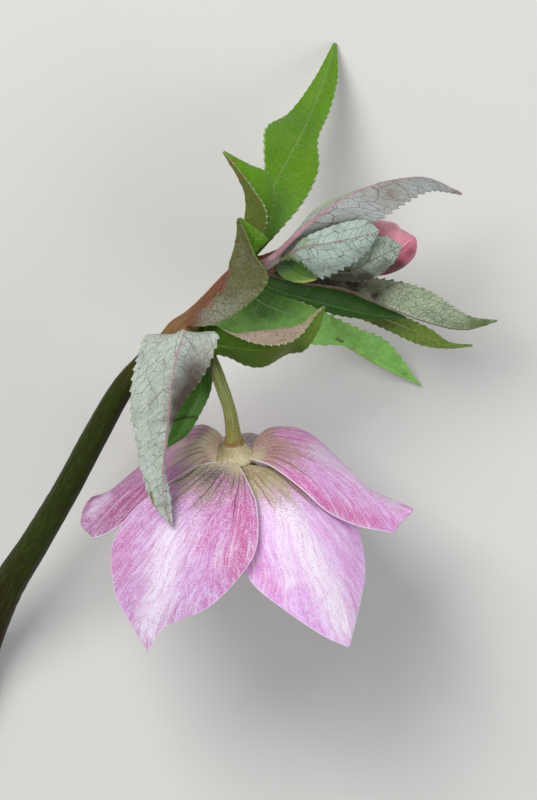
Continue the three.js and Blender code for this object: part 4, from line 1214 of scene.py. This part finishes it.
SEPAL_TINTS = {
    "sepal_front_left": dict(
        foot="9c947a", dusk="5a544a", vein="4c363e", rosy="b07c94", dark="c88fca",
        light="d8aae4", deep="c85c9c", pale="f4ecff", streak="bb5c9c", reach=2.5),
    "sepal_front_right": dict(
        foot="b4b07e", dusk="8c7048", vein="865656", rosy="cca4b4", dark="e0a8ea",
        light="efc4ff", deep="e08ccc", pale="fbf4ff", streak="d880c8", reach=1.5),
    "sepal_side_right": dict(
        foot="b8928a", dusk="a07c74", vein="8a5660", rosy="bc8c9c", dark="d896d2",
        light="e4b0ea", deep="cf60a4", pale="f0e2fa", streak="c8649f", reach=1.2),
    "sepal_side_left": dict(
        # darker tints throughout: painted shade, as this sepal turns from the light
        foot="cac4a2", dusk="a67e72", vein="7a565c", rosy="b87ca0", dark="aa729c",
        light="b886b2", deep="a44a7c", pale="dccbe6", streak="94467a", reach=1.4),
    "sepal_back": dict(
        foot="a8a49a", dusk="a8a49a", vein="84707a", rosy="b890a0", dark="cc9ccc",
        light="d8b2e0", deep="cc78b0", pale="ece2f6", streak="bd6ba6", reach=0.5),
}
for number, (sepal_name, drawing) in enumerate(SEPALS.items()):
    finish = sepal_finish(sepal_name, SEPAL_TINTS[sepal_name])
    build_sepal(sepal_name, drawing, finish, SEPAL_SEED + SEED_STEP * number)

# %% [markdown]
# ## Round pieces
# Stems, filaments, carpels and nectaries are rings carried along a line. The rings of a
# hollow piece run out along the outside and come back along the inside.

# %% Rings along a line
def round_angles(count):
    """count angles, evenly round a circle."""
    return np.arange(count) / count * 2 * np.pi


def ring_grid(centre, ahead, radius, sides, reference=(0, 0, 1)):
    """centre + radius (cos a side + sin a other); side is square to the line ahead."""
    reference = np.array(reference, float)
    side = unit(reference - (ahead @ reference)[:, None] * ahead)
    other = np.cross(ahead, side)
    angle = round_angles(sides)[None, :, None]
    radius = np.asarray(radius, float)
    radius = radius[:, None] if radius.ndim == 1 else radius
    turned = np.cos(angle) * side[:, None] + np.sin(angle) * other[:, None]
    return centre[:, None] + radius[..., None] * turned


def with_ends(values):
    """A number or place per ring point, and then the means of the first and last ring."""
    flat = values.reshape(-1, *values.shape[2:])
    return np.concatenate([flat, values[[0, -1]].mean(1)])


def closed_tube(grid):
    """Points and faces of a ring grid, with a fan to a middle point at each end."""
    rows, sides = grid.shape[:2]
    at = np.arange(rows * sides).reshape(rows, sides)
    turn = np.roll(at, -1, axis=1)
    quads = np.stack([at[:-1], turn[:-1], turn[1:], at[1:]], -1).reshape(-1, 4)
    start = np.full(sides, rows * sides)
    first = np.stack([start, turn[0], at[0]], -1)
    last = np.stack([start + 1, at[-1], turn[-1]], -1)
    return with_ends(grid), [quads, first, last]


def skin_place(angle, rise):
    """cos, sin and rise: a place on a round skin, for noise that has no seam."""
    return np.stack(np.broadcast_arrays(np.cos(angle), np.sin(angle), rise), -1)


def marked(grid, name, value):
    """Closed tube whose points all carry a value, or each its own."""
    points, faces = closed_tube(grid)
    return points, faces, {name: np.zeros(len(points)) + value}


def gathered(parts):
    """Several (points, faces, fields) as one."""
    points = np.concatenate([part[0] for part in parts])
    counts = np.cumsum([0] + [len(part[0]) for part in parts])
    faces = [each + count for part, count in zip(parts, counts) for each in part[1]]
    fields = {key: np.concatenate([part[2][key] for part in parts]) for key in parts[0][2]}
    return points, faces, fields


# %% [markdown]
# ## Stem
# One shoot grows through both nodes: main stem, branch, bud stalk. It is a little angular,
# swells at each node, and has fine lengthwise grooves and warts. The flower stalk is paler,
# with close cross wrinkles where it meets the flower. A stem is drawn as one line of
# squares, and each of its points has the radius too.

# %% Stem lines
SHOOT = [
    [-62, 815, 2.72, 2.9], [-40, 725, 3, 2.8], [-18, 650, 5.2, 2.85], [4, 592, 10.5, 3.0],
    [33, 545, 15, 2.65], [65.5, 490, 19, 2.4], [95, 435, 23, 2.3], [123, 387, 28, 2.05],
    [153, 354, 31.3, 1.8], [180, 331, 33, 1.9], [206.5, 304, 33, 1.5], [229.5, 279.3, 32.6, 1.4],
    [248, 268, 31.5, 1.7], [262, 265, 32, 1.6], [271, 262.5, 31.5, 1.8], [281, 256, 31, 1.25],
    [294, 257, 29.2, 1.0], [304, 256, 28.8, 0.9],
]
PEDICEL = [
    [184, 333, 33, 1.5], [199, 344, 36, 1.35], [211.5, 361, 38, 1.2], [222.3, 388, 38.5, 1.16],
    [229.8, 412, 37.3, 1.17], [233, 434, 35.6, 1.42], [234, 443, 34.9, 1.85],
    [235, 452, 34.3, 2.0],
]
NODES = [[180, 331, 33], [248, 268, 31.5]]
TABLE_LEVEL = 0.0
WRINKLE_PITCH = 0.56
SWELLING = 0.28
SWELLING_REACH = 2.2


def build_stem(name, line, finish, sides, spacing, groove, wrinkle, seed):
    """Rings with soft corners, grooves, swellings at the nodes and wrinkles near the end."""
    line = squares(line)
    t = even(line[:, :3], int(lengths(line[:, :3])[-1] / spacing))
    centre, radius = through(line[:, :3], t), through(line[:, 3:], t)
    row = lengths(centre)[:, None]
    angle = round_angles(sides)[None]
    off_nodes = [np.linalg.norm(centre - squares(node), axis=1) for node in NODES]
    swell = sum(SWELLING * np.exp(-(off / SWELLING_REACH) ** 2) for off in off_nodes)[:, None]
    corners = 0.025 * np.cos(5 * angle + 0.05 * row) + groove * np.cos(17 * angle + 0.1 * row)
    warts = 0.02 * ripple(4 * np.cos(angle) + row, 4 * np.sin(angle) + 2 * row, seed, waves=9)
    near_end = smoothstep(row, row[-1] - 8.5, row[-1] - 4.5)
    near_end = near_end * smoothstep(row, row[-1] - 1.7, row[-1] - 2.6)
    near_end = near_end * (0.6 + 0.4 * ripple(3 * row, 3 * angle, seed + 1))
    wave = np.sin(2 * np.pi * row / WRINKLE_PITCH + 1.4 * np.sin(angle * 2 + 1)
                  + 0.7 * np.sin(row))
    shape = radius * (1 + corners + warts + swell + wrinkle * near_end * wave)
    grid = ring_grid(centre, heading(centre), shape, sides)
    grid[..., 2] = np.maximum(grid[..., 2], TABLE_LEVEL)
    points, faces = closed_tube(grid)
    fields = {
        "skin": with_ends(skin_place(angle, row / 12)),
        "along": with_ends(np.repeat(row / row[-1], sides, 1)),
        # the wrinkles' grooves, which take their own brown and painted shade
        "sunk": with_ends(smoothstep(-wave, 0.1, 0.9) * near_end * (wrinkle > 0)),
        "cut": np.append(np.zeros(len(points) - 2), [1.0, 0.0]),
    }
    piece = new_piece(name, points, faces, fields, finish)
    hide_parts("stem")


# %% Stem finish
# brown of the wrinkle grooves, partly their own colour, partly painted shade
WRINKLE_BROWN_AND_SHADE = "5a4a26"
CUT_RIM = "9a9a64"
CUT_PITH = "c4c49a"


def stem_finish(name, tints, pale, speck_colour, speck_amount, stray):
    """tints: (place along the stem, colour), from the cut to the end, that stray a little."""
    material, tree = new_finish(name)
    skin = carried_place(tree, "skin")
    cloud = grain(tree, skin, 2.2, 4.0)
    fibre = grain(tree, skin, 1.0, 3.0, (9, 9, 5))
    speck = grain(tree, skin, 1.0, 2.0, (14, 14, 60))
    way = plus(tree, carried(tree, "along"), step(tree, cloud, 0.2, 0.8, -stray, stray))
    colour = coated(tree, ramp(tree, way, tints), [
        (step(tree, fibre, 0.5, 0.35, 0.0, 0.4), speck_colour),
        (step(tree, fibre, 0.62, 0.5, 0.4, 0.0), pale),
        (step(tree, speck, 0.52, 0.66, 0.0, speck_amount), speck_colour),
        # the grooves: their own brown, with painted shade in them
        (times(tree, carried(tree, "sunk"), 0.5), WRINKLE_BROWN_AND_SHADE),
        (step(tree, carried(tree, "cut"), 0.1, 0.2), CUT_RIM),
        (step(tree, carried(tree, "cut"), 0.55, 0.8), CUT_PITH)])
    painted(tree, colour, 0.5, 0.12, (fibre, 0.35, 0.0003))
    return material


SHOOT_FINISH = stem_finish("shoot", [
    (0.0, "2a1c10"), (0.27, "2a1e0e"), (0.4, "263508"), (0.68, "283808"),
    (0.735, "4f4221"), (0.775, "8c6a44"), (0.82, "82583f"), (0.87, "7c4a3a"), (1.0, "8a5e4e")],
    pale="47561f", speck_colour="3a211a", speck_amount=0.5, stray=0.03)
STALK_FINISH = stem_finish("flower_stalk", [
    (0.0, "3e4816"), (0.38, "4e5820"), (0.6, "7c8748"), (0.89, "8f8c46"), (0.92, "8a5a34"),
    (0.95, "a09468"), (1.0, "b8ab8a")],
    pale="b2b48c", speck_colour="6a5a3c", speck_amount=0.4, stray=0.012)
build_stem("shoot", SHOOT, SHOOT_FINISH, sides=64, spacing=0.28, groove=0.012, wrinkle=0.0,
           seed=601)
build_stem("flower_stalk", PEDICEL, STALK_FINISH, sides=56, spacing=0.14, groove=0.008,
           wrinkle=0.03, seed=602)

# %% [markdown]
# ## Inside the flower
# These pieces are hidden from above, but the flower is looked at from all sides. They stand
# round the flower's axis, so their places are given as distance from the axis, height along
# it and compass angle, and one turn brings them to the spray.

# %% Flower frame
TILT = np.radians(27)
LEAN = np.radians(3.5)


def flower_frame():
    """Rz(lean) Rx(90 + tilt): its third column is the axis out of the flower."""
    lean = np.array([[np.cos(LEAN), -np.sin(LEAN), 0], [np.sin(LEAN), np.cos(LEAN), 0],
                     [0, 0, 1]])
    turn = np.pi / 2 + TILT
    tip = np.array([[1, 0, 0], [0, np.cos(turn), -np.sin(turn)],
                    [0, np.sin(turn), np.cos(turn)]])
    return lean @ tip


FLOWER_TURN = flower_frame()


def in_flower(points):
    """Flower places to places over the table."""
    return points @ FLOWER_TURN.T + squares(CENTRE)


def spoke(radius, height, angle):
    """Places at a distance from the axis, a height along it and a compass angle."""
    return np.stack(np.broadcast_arrays(
        radius * np.sin(angle), radius * np.cos(angle), height), -1)


def revolved(profile, sides):
    """A profile of (radius, height) turned round the flower's axis."""
    line = through(profile, np.linspace(0, 1, 6 * len(profile)))
    centre = spoke(0.0, line[:, 1], 0.0)
    ahead = np.repeat([[0.0, 0.0, 1.0]], len(line), 0)
    return ring_grid(centre, ahead, np.maximum(line[:, 0], 0.05), sides, (1, 0, 0))


def ramp_finish(name, field, tints, roughness):
    """Colours along a carried number, with fine grain."""
    material, tree = new_finish(name)
    speck = specks(tree, 2400.0)
    colour = coated(tree, ramp(tree, carried(tree, field), tints), [
        (step(tree, speck, 0.35, 0.75, 0.0, 0.35), "5f6a30")])
    painted(tree, colour, roughness, relief=(speck, 0.3, 0.0002))
    return material


# %% Receptacle
RECEPTACLE = [
    (1.5, -2.5), (1.85, -2.15), (2.2, -1.7), (2.6, -1.2), (3.05, -0.7), (3.45, -0.25),
    (3.7, 0.2), (3.55, 0.7), (2.6, 1.2), (2.1, 1.9), (1.7, 2.6), (0.9, 3.0),
]
RECEPTACLE_SIDES = 72
TAN_SPOTS = [(221, 450, 9, 0.8)]
CREAM_SPOTS = [(245, 462, 9, 1.0)]


def build_receptacle():
    """A low cup that the sepals grow out of, with the dome of the stamens inside."""
    grid = revolved(RECEPTACLE, RECEPTACLE_SIDES)
    angle = np.arctan2(grid[..., 1], grid[..., 0])
    grid = grid * (1 + 0.03 * np.cos(5 * angle) + 0.012 * np.cos(23 * angle))[..., None]
    points, faces = closed_tube(grid)
    radius = np.linalg.norm(points[:, :2], axis=1)
    around = np.stack([points[:, 0], points[:, 1], 0.2 * radius], -1)
    around[:, :2] /= np.maximum(radius, 0.5)[:, None]
    placed = in_flower(points)
    fields = {"around": around, "up": points[:, 2],
              "tan": spots_near(placed, TAN_SPOTS),
              "cream": spots_near(placed, CREAM_SPOTS)}
    piece = new_piece("receptacle", placed, faces, fields, receptacle_finish())
    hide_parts("stem")


def receptacle_finish():
    """Folds of cream and tan, freckled both ways, and green on the dome inside."""
    material, tree = new_finish("receptacle")
    fold = grain(tree, carried_place(tree, "around"), 7.0, 4.0)
    speck = specks(tree, 3600.0)
    colour = coated(tree, rgb("a0946c"), [
        (step(tree, fold, 0.35, 0.65), "c0b392"),
        (step(tree, specks(tree, 900.0, 4.0), 0.5, 0.7, 0.0, 0.4), "b09080"),
        (carried(tree, "tan"), "7d6e3a"),
        (carried(tree, "cream"), "cdc4a0"),
        (step(tree, speck, 0.47, 0.33, 0.0, 0.45), "8a6a50"),
        (step(tree, speck, 0.53, 0.67, 0.0, 0.45), "e0d8bc"),
        (step(tree, carried(tree, "up"), 0.6, 1.4), "a9b36a")])
    painted(tree, colour, 0.6, 0.25, (fold, 0.3, 0.0003))
    return material


build_receptacle()

# %% [markdown]
# ## Nectaries
# Between sepals and stamens sits a ring of small green horns with open mouths.

# %% Nectaries
NECTARY_COUNT = 11
NECTARY_LENGTH = 4.6
NECTARY_LEAN = np.radians(45)
NECTARY_SIDES = 16
NECTARY_ROWS = 34
NECTARY_FOOT = (2.75, 2.3)  # distance from the axis, height
NECTARY_BEND = 0.35
NECTARY_SEED = 700
NECTARY_WALL = [(0.0, 0.3), (0.12, 0.42), (0.3, 0.54), (0.55, 0.66), (0.8, 0.74), (0.95, 0.68),
                (1.0, 0.6), (0.97, 0.52), (0.8, 0.6), (0.55, 0.5), (0.35, 0.2)]
NECTARY_RING = [(2.3, 2.05), (2.95, 2.05), (3.05, 2.5), (2.95, 2.95), (2.35, 2.95)]


def one_nectary(angle, seed):
    """A leaning horn: rings of (way out, radius) to the lip and back along its inside."""
    rng = np.random.default_rng(seed)
    out, radius = through(NECTARY_WALL, np.linspace(0, 1, NECTARY_ROWS)).T
    size = rng.uniform(0.93, 1.05)
    lean = NECTARY_LEAN + rng.uniform(-0.06, 0.06)
    s = out * NECTARY_LENGTH * size
    bend = NECTARY_BEND * out**2
    centre = spoke(NECTARY_FOOT[0] + s * np.sin(lean) - bend,
                   NECTARY_FOOT[1] + s * np.cos(lean) + bend, angle)
    ahead = np.repeat(spoke(np.sin(lean), np.cos(lean), angle)[None], len(s), 0)
    grid = in_flower(ring_grid(centre, ahead, radius, NECTARY_SIDES))
    return marked(grid, "tip", with_ends(np.repeat(out[:, None], NECTARY_SIDES, 1)))


def build_nectaries():
    """A low ring, and the horns that stand on it evenly round the axis."""
    parts = [marked(in_flower(revolved(NECTARY_RING, 40)), "tip", 0.0)]
    for k in range(NECTARY_COUNT):
        angle = (k + 0.5) / NECTARY_COUNT * 2 * np.pi
        parts.append(one_nectary(angle, NECTARY_SEED + k))
    finish = ramp_finish("nectary", "tip", [(0.0, "7f9440"), (0.7, "a9bb58"), (1.0, "8f5f66")], 0.4)
    piece = new_piece("nectary_ring", *gathered(parts), finish)
    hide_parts("nectaries")


build_nectaries()

# %% [markdown]
# ## Stamens
# Thin pale filaments with yellow-green anthers, each in two halves, spread round the carpels.
# A golden-angle spiral fills the ring evenly without rows.

# %% Stamens
STAMEN_COUNT = 64
STAMEN_SEED = 31
STAMEN_FOOT = 1.15
STAMEN_LEVEL = 2.9
STAMEN_TALL = 8.3
GOLDEN_ANGLE = np.pi * (3 - np.sqrt(5))
OFF_AXIS = (1, 0.2, 0)
FILAMENT_SIDES = 5
ANTHER_ROWS = 7
ANTHER_SIDES = 7
ANTHER_LENGTH = 1.15
ANTHER_RADIUS = 0.3
HALVES_APART = 0.17


def one_stamen(k, rng):
    """A bowed filament and an anther of two swellings, ellipses along the filament's end."""
    foot = STAMEN_FOOT + 0.75 * ((k * 0.37) % 1)
    tall = STAMEN_TALL + rng.uniform(-0.9, 1.6)
    lean = np.radians(18 + 16 * ((k * 0.61) % 1) + rng.uniform(-3, 3))
    s = np.linspace(0, 1, 9)
    out = foot + tall * s * np.sin(lean) * (0.75 + 0.25 * s)
    centre = spoke(out, STAMEN_LEVEL + tall * s * np.cos(lean), k * GOLDEN_ANGLE)
    ahead = heading(centre)
    filament = ring_grid(centre, ahead, 0.13 - 0.03 * s, FILAMENT_SIDES, OFF_AXIS)
    parts = [marked(filament, "anther", 0.0)]
    tip, way = centre[-1], ahead[-1:]
    apart = unit(np.cross(way, [0.3, 0.9, 0.2])) * HALVES_APART
    u = np.linspace(0, 1, ANTHER_ROWS)
    bulge = ANTHER_RADIUS * np.sqrt(np.clip(1 - (2 * u - 1) ** 2, 0.02, 1))
    for sign in (-1, 1):
        middle = tip + sign * apart + way * ((u - 0.35) * ANTHER_LENGTH)[:, None]
        lobe = ring_grid(middle, np.repeat(way, ANTHER_ROWS, 0), bulge, ANTHER_SIDES, OFF_AXIS)
        parts.append(marked(lobe, "anther", 1.0))
    return parts


def build_stamens():
    """All stamens as one brush, from one row of random draws."""
    rng = np.random.default_rng(STAMEN_SEED)
    parts = [part for k in range(STAMEN_COUNT) for part in one_stamen(k, rng)]
    points, faces, fields = gathered(parts)
    finish = ramp_finish("stamen", "anther", [
        (0.0, "dcd8b0"), (0.5, "dcd8b0"), (0.55, "cfc07a"), (1.0, "d6c987")], 0.6)
    piece = new_piece("stamen_brush", in_flower(points), faces, fields, finish)
    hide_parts("stamens")


build_stamens()

# %% [markdown]
# ## Carpels
# Four green flasks stand in the middle, each drawn out into a style that bends outward.

# %% Carpels
CARPEL_COUNT = 4
CARPEL_SIDES = 20
CARPEL_ROWS = 60
CARPEL = [  # distance from the axis, height, radius
    [0.25, 3.6, 0.45], [0.45, 4.2, 0.62], [0.8, 5.6, 0.84], [0.98, 7.0, 0.8], [1.0, 8.3, 0.5],
    [1.05, 9.2, 0.3], [1.25, 10.3, 0.22], [1.6, 11.3, 0.18], [2.0, 11.9, 0.2], [2.15, 12.05, 0.1],
]
CARPEL_FOOT = 3.6
CARPEL_TALL = 8.45
CARPEL_CORE = np.array([[2.9, 0.9], [3.4, 0.9], [4.6, 0.7], [5.0, 0.2]])  # height, radius


def build_carpels():
    """Flasks with two soft corners and a seam towards the axis, round a short core."""
    shape = through(CARPEL, np.linspace(0, 1, CARPEL_ROWS))
    turn = round_angles(CARPEL_SIDES)[None]
    seam = 1 + 0.06 * np.cos(turn * 2) - 0.05 * np.exp(-((turn - np.pi) / 0.3) ** 2)
    parts = []
    for k in range(CARPEL_COUNT):
        centre = spoke(shape[:, 0], shape[:, 1], (k + 0.5) / CARPEL_COUNT * 2 * np.pi)
        grid = ring_grid(centre, heading(centre), shape[:, 2:] * seam, CARPEL_SIDES, OFF_AXIS)
        parts.append(marked(grid, "high", (with_ends(grid)[:, 2] - CARPEL_FOOT) / CARPEL_TALL))
    upward = np.repeat([[0.0, 0.0, 1.0]], len(CARPEL_CORE), 0)
    core = ring_grid(spoke(0.0, CARPEL_CORE[:, 0], 0.0), upward, CARPEL_CORE[:, 1],
                     CARPEL_SIDES, (1, 0, 0))
    parts.append(marked(core, "high", 0.0))
    points, faces, fields = gathered(parts)
    finish = ramp_finish("carpel", "high", [
        (0.0, "8fa552"), (0.55, "a9b968"), (0.8, "c9c48c"), (1.0, "c98a9a")], 0.5)
    piece = new_piece("carpel_group", in_flower(points), faces, fields, finish)
    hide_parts("carpels")


build_carpels()

# %% [markdown]
# ## Bud
# A closed hellebore bud is an egg of sepals that overlap like roof tiles, each with one free
# edge. The radius therefore climbs slowly round the bud and drops at each free edge.

# %% Bud
BUD = [
    [301, 256.5, 28.8, 1.3], [310, 255.5, 28.8, 2.5], [328, 253.5, 28.8, 3.9],
    [352, 250.8, 28.7, 4.8], [378, 248.2, 28.6, 5.05], [396, 245.6, 28.6, 4.35],
    [405, 243.6, 28.6, 3.3], [411.5, 240.4, 28.7, 1.9], [415.5, 237.8, 28.7, 0.4],
]
BUD_ROWS = 110
BUD_SIDES = 150
BUD_EDGES = 3
BUD_TWIST = 0.9
BUD_SEED = 811
LIP = 0.05
CREASE = 0.03
DENT = 0.02
# painted highlight on the bud's top, under the upper bud bract, and painted shade on its lower side
PAINTED_HIGHLIGHT_SPOTS = [(402, 233, 13, 1.0), (387, 223, 13, 1.0)]
PAINTED_SHADE_SPOTS = [(400, 268, 10, 1.0), (388, 275, 13, 1.0), (410, 252, 6, 0.6)]


def build_bud(finish):
    """Radius times 1 + lip: a saw of three teeth round the bud, twisted towards the tip."""
    line = squares(BUD)
    t = even(line[:, :3], BUD_ROWS)
    centre, radius = through(line[:, :3], t), through(line[:, 3:], t)
    angle = round_angles(BUD_SIDES)[None]
    far = np.linspace(0, 1, BUD_ROWS)[:, None]
    turn = (angle / (2 * np.pi) * BUD_EDGES + BUD_TWIST * far + 0.14) % 1
    lip = LIP * turn * smoothstep(1 - turn, 0.0, 0.02)
    lip = (lip - LIP / 2) * smoothstep(far, 0.05, 0.3) * smoothstep(1 - far, 0.0, 0.12)
    crease = -CREASE * np.exp(-((turn - 0.5) / 0.05) ** 2) * smoothstep(far, 0.1, 0.4)
    dent = DENT * ripple(2 * np.cos(angle) + 5 * far, 2 * np.sin(angle) + 3 * far, BUD_SEED)
    grid = ring_grid(centre, heading(centre), radius * (1 + lip + crease + dent), BUD_SIDES)
    points, faces = closed_tube(grid)
    fields = {key: with_ends(values) for key, values in {
        "turn": turn,
        # light and dark: where the painted highlight and the painted shade go
        "light": spots_near(grid, PAINTED_HIGHLIGHT_SPOTS),
        "dark": spots_near(grid, PAINTED_SHADE_SPOTS),
        "far": np.repeat(far, BUD_SIDES, 1),
        "skin": skin_place(angle, far * 1.2),
    }.items()}
    piece = new_piece("bud_egg", points, faces, fields, finish)
    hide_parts("bud")


def bud_finish():
    """Streaked rose with painted highlight and shade, a green foot, pale lips and their shadow."""
    material, tree = new_finish("bud")
    streak = grain(tree, carried_place(tree, "skin"), 1.0, 3.0, (9, 9, 1.6))
    colour = coated(tree, rgb("da6480"), [
        (step(tree, streak, 0.35, 0.7), "f094a4"),
        (step(tree, specks(tree, 500.0, 4.0), 0.45, 0.75, 0.0, 0.5), "b8466c"),
        # painted highlight, then painted shade
        (carried(tree, "light"), "ffaabf"),
        (carried(tree, "dark"), "54141e"),
        (step(tree, specks(tree, 2400.0), 0.45, 0.7, 0.0, 0.35), "b0486a"),
        (step(tree, carried(tree, "far"), 0.35, 0.1), "a9a878"),
        (step(tree, carried(tree, "turn"), 0.93, 0.99), "f0c4cc"),
        (step(tree, carried(tree, "turn"), 0.06, 0.0, 0.0, 0.7), "8a2c4c")])
    painted(tree, colour, 0.42, 0.45, (streak, 0.25, 0.0002))
    return material


build_bud(bud_finish())
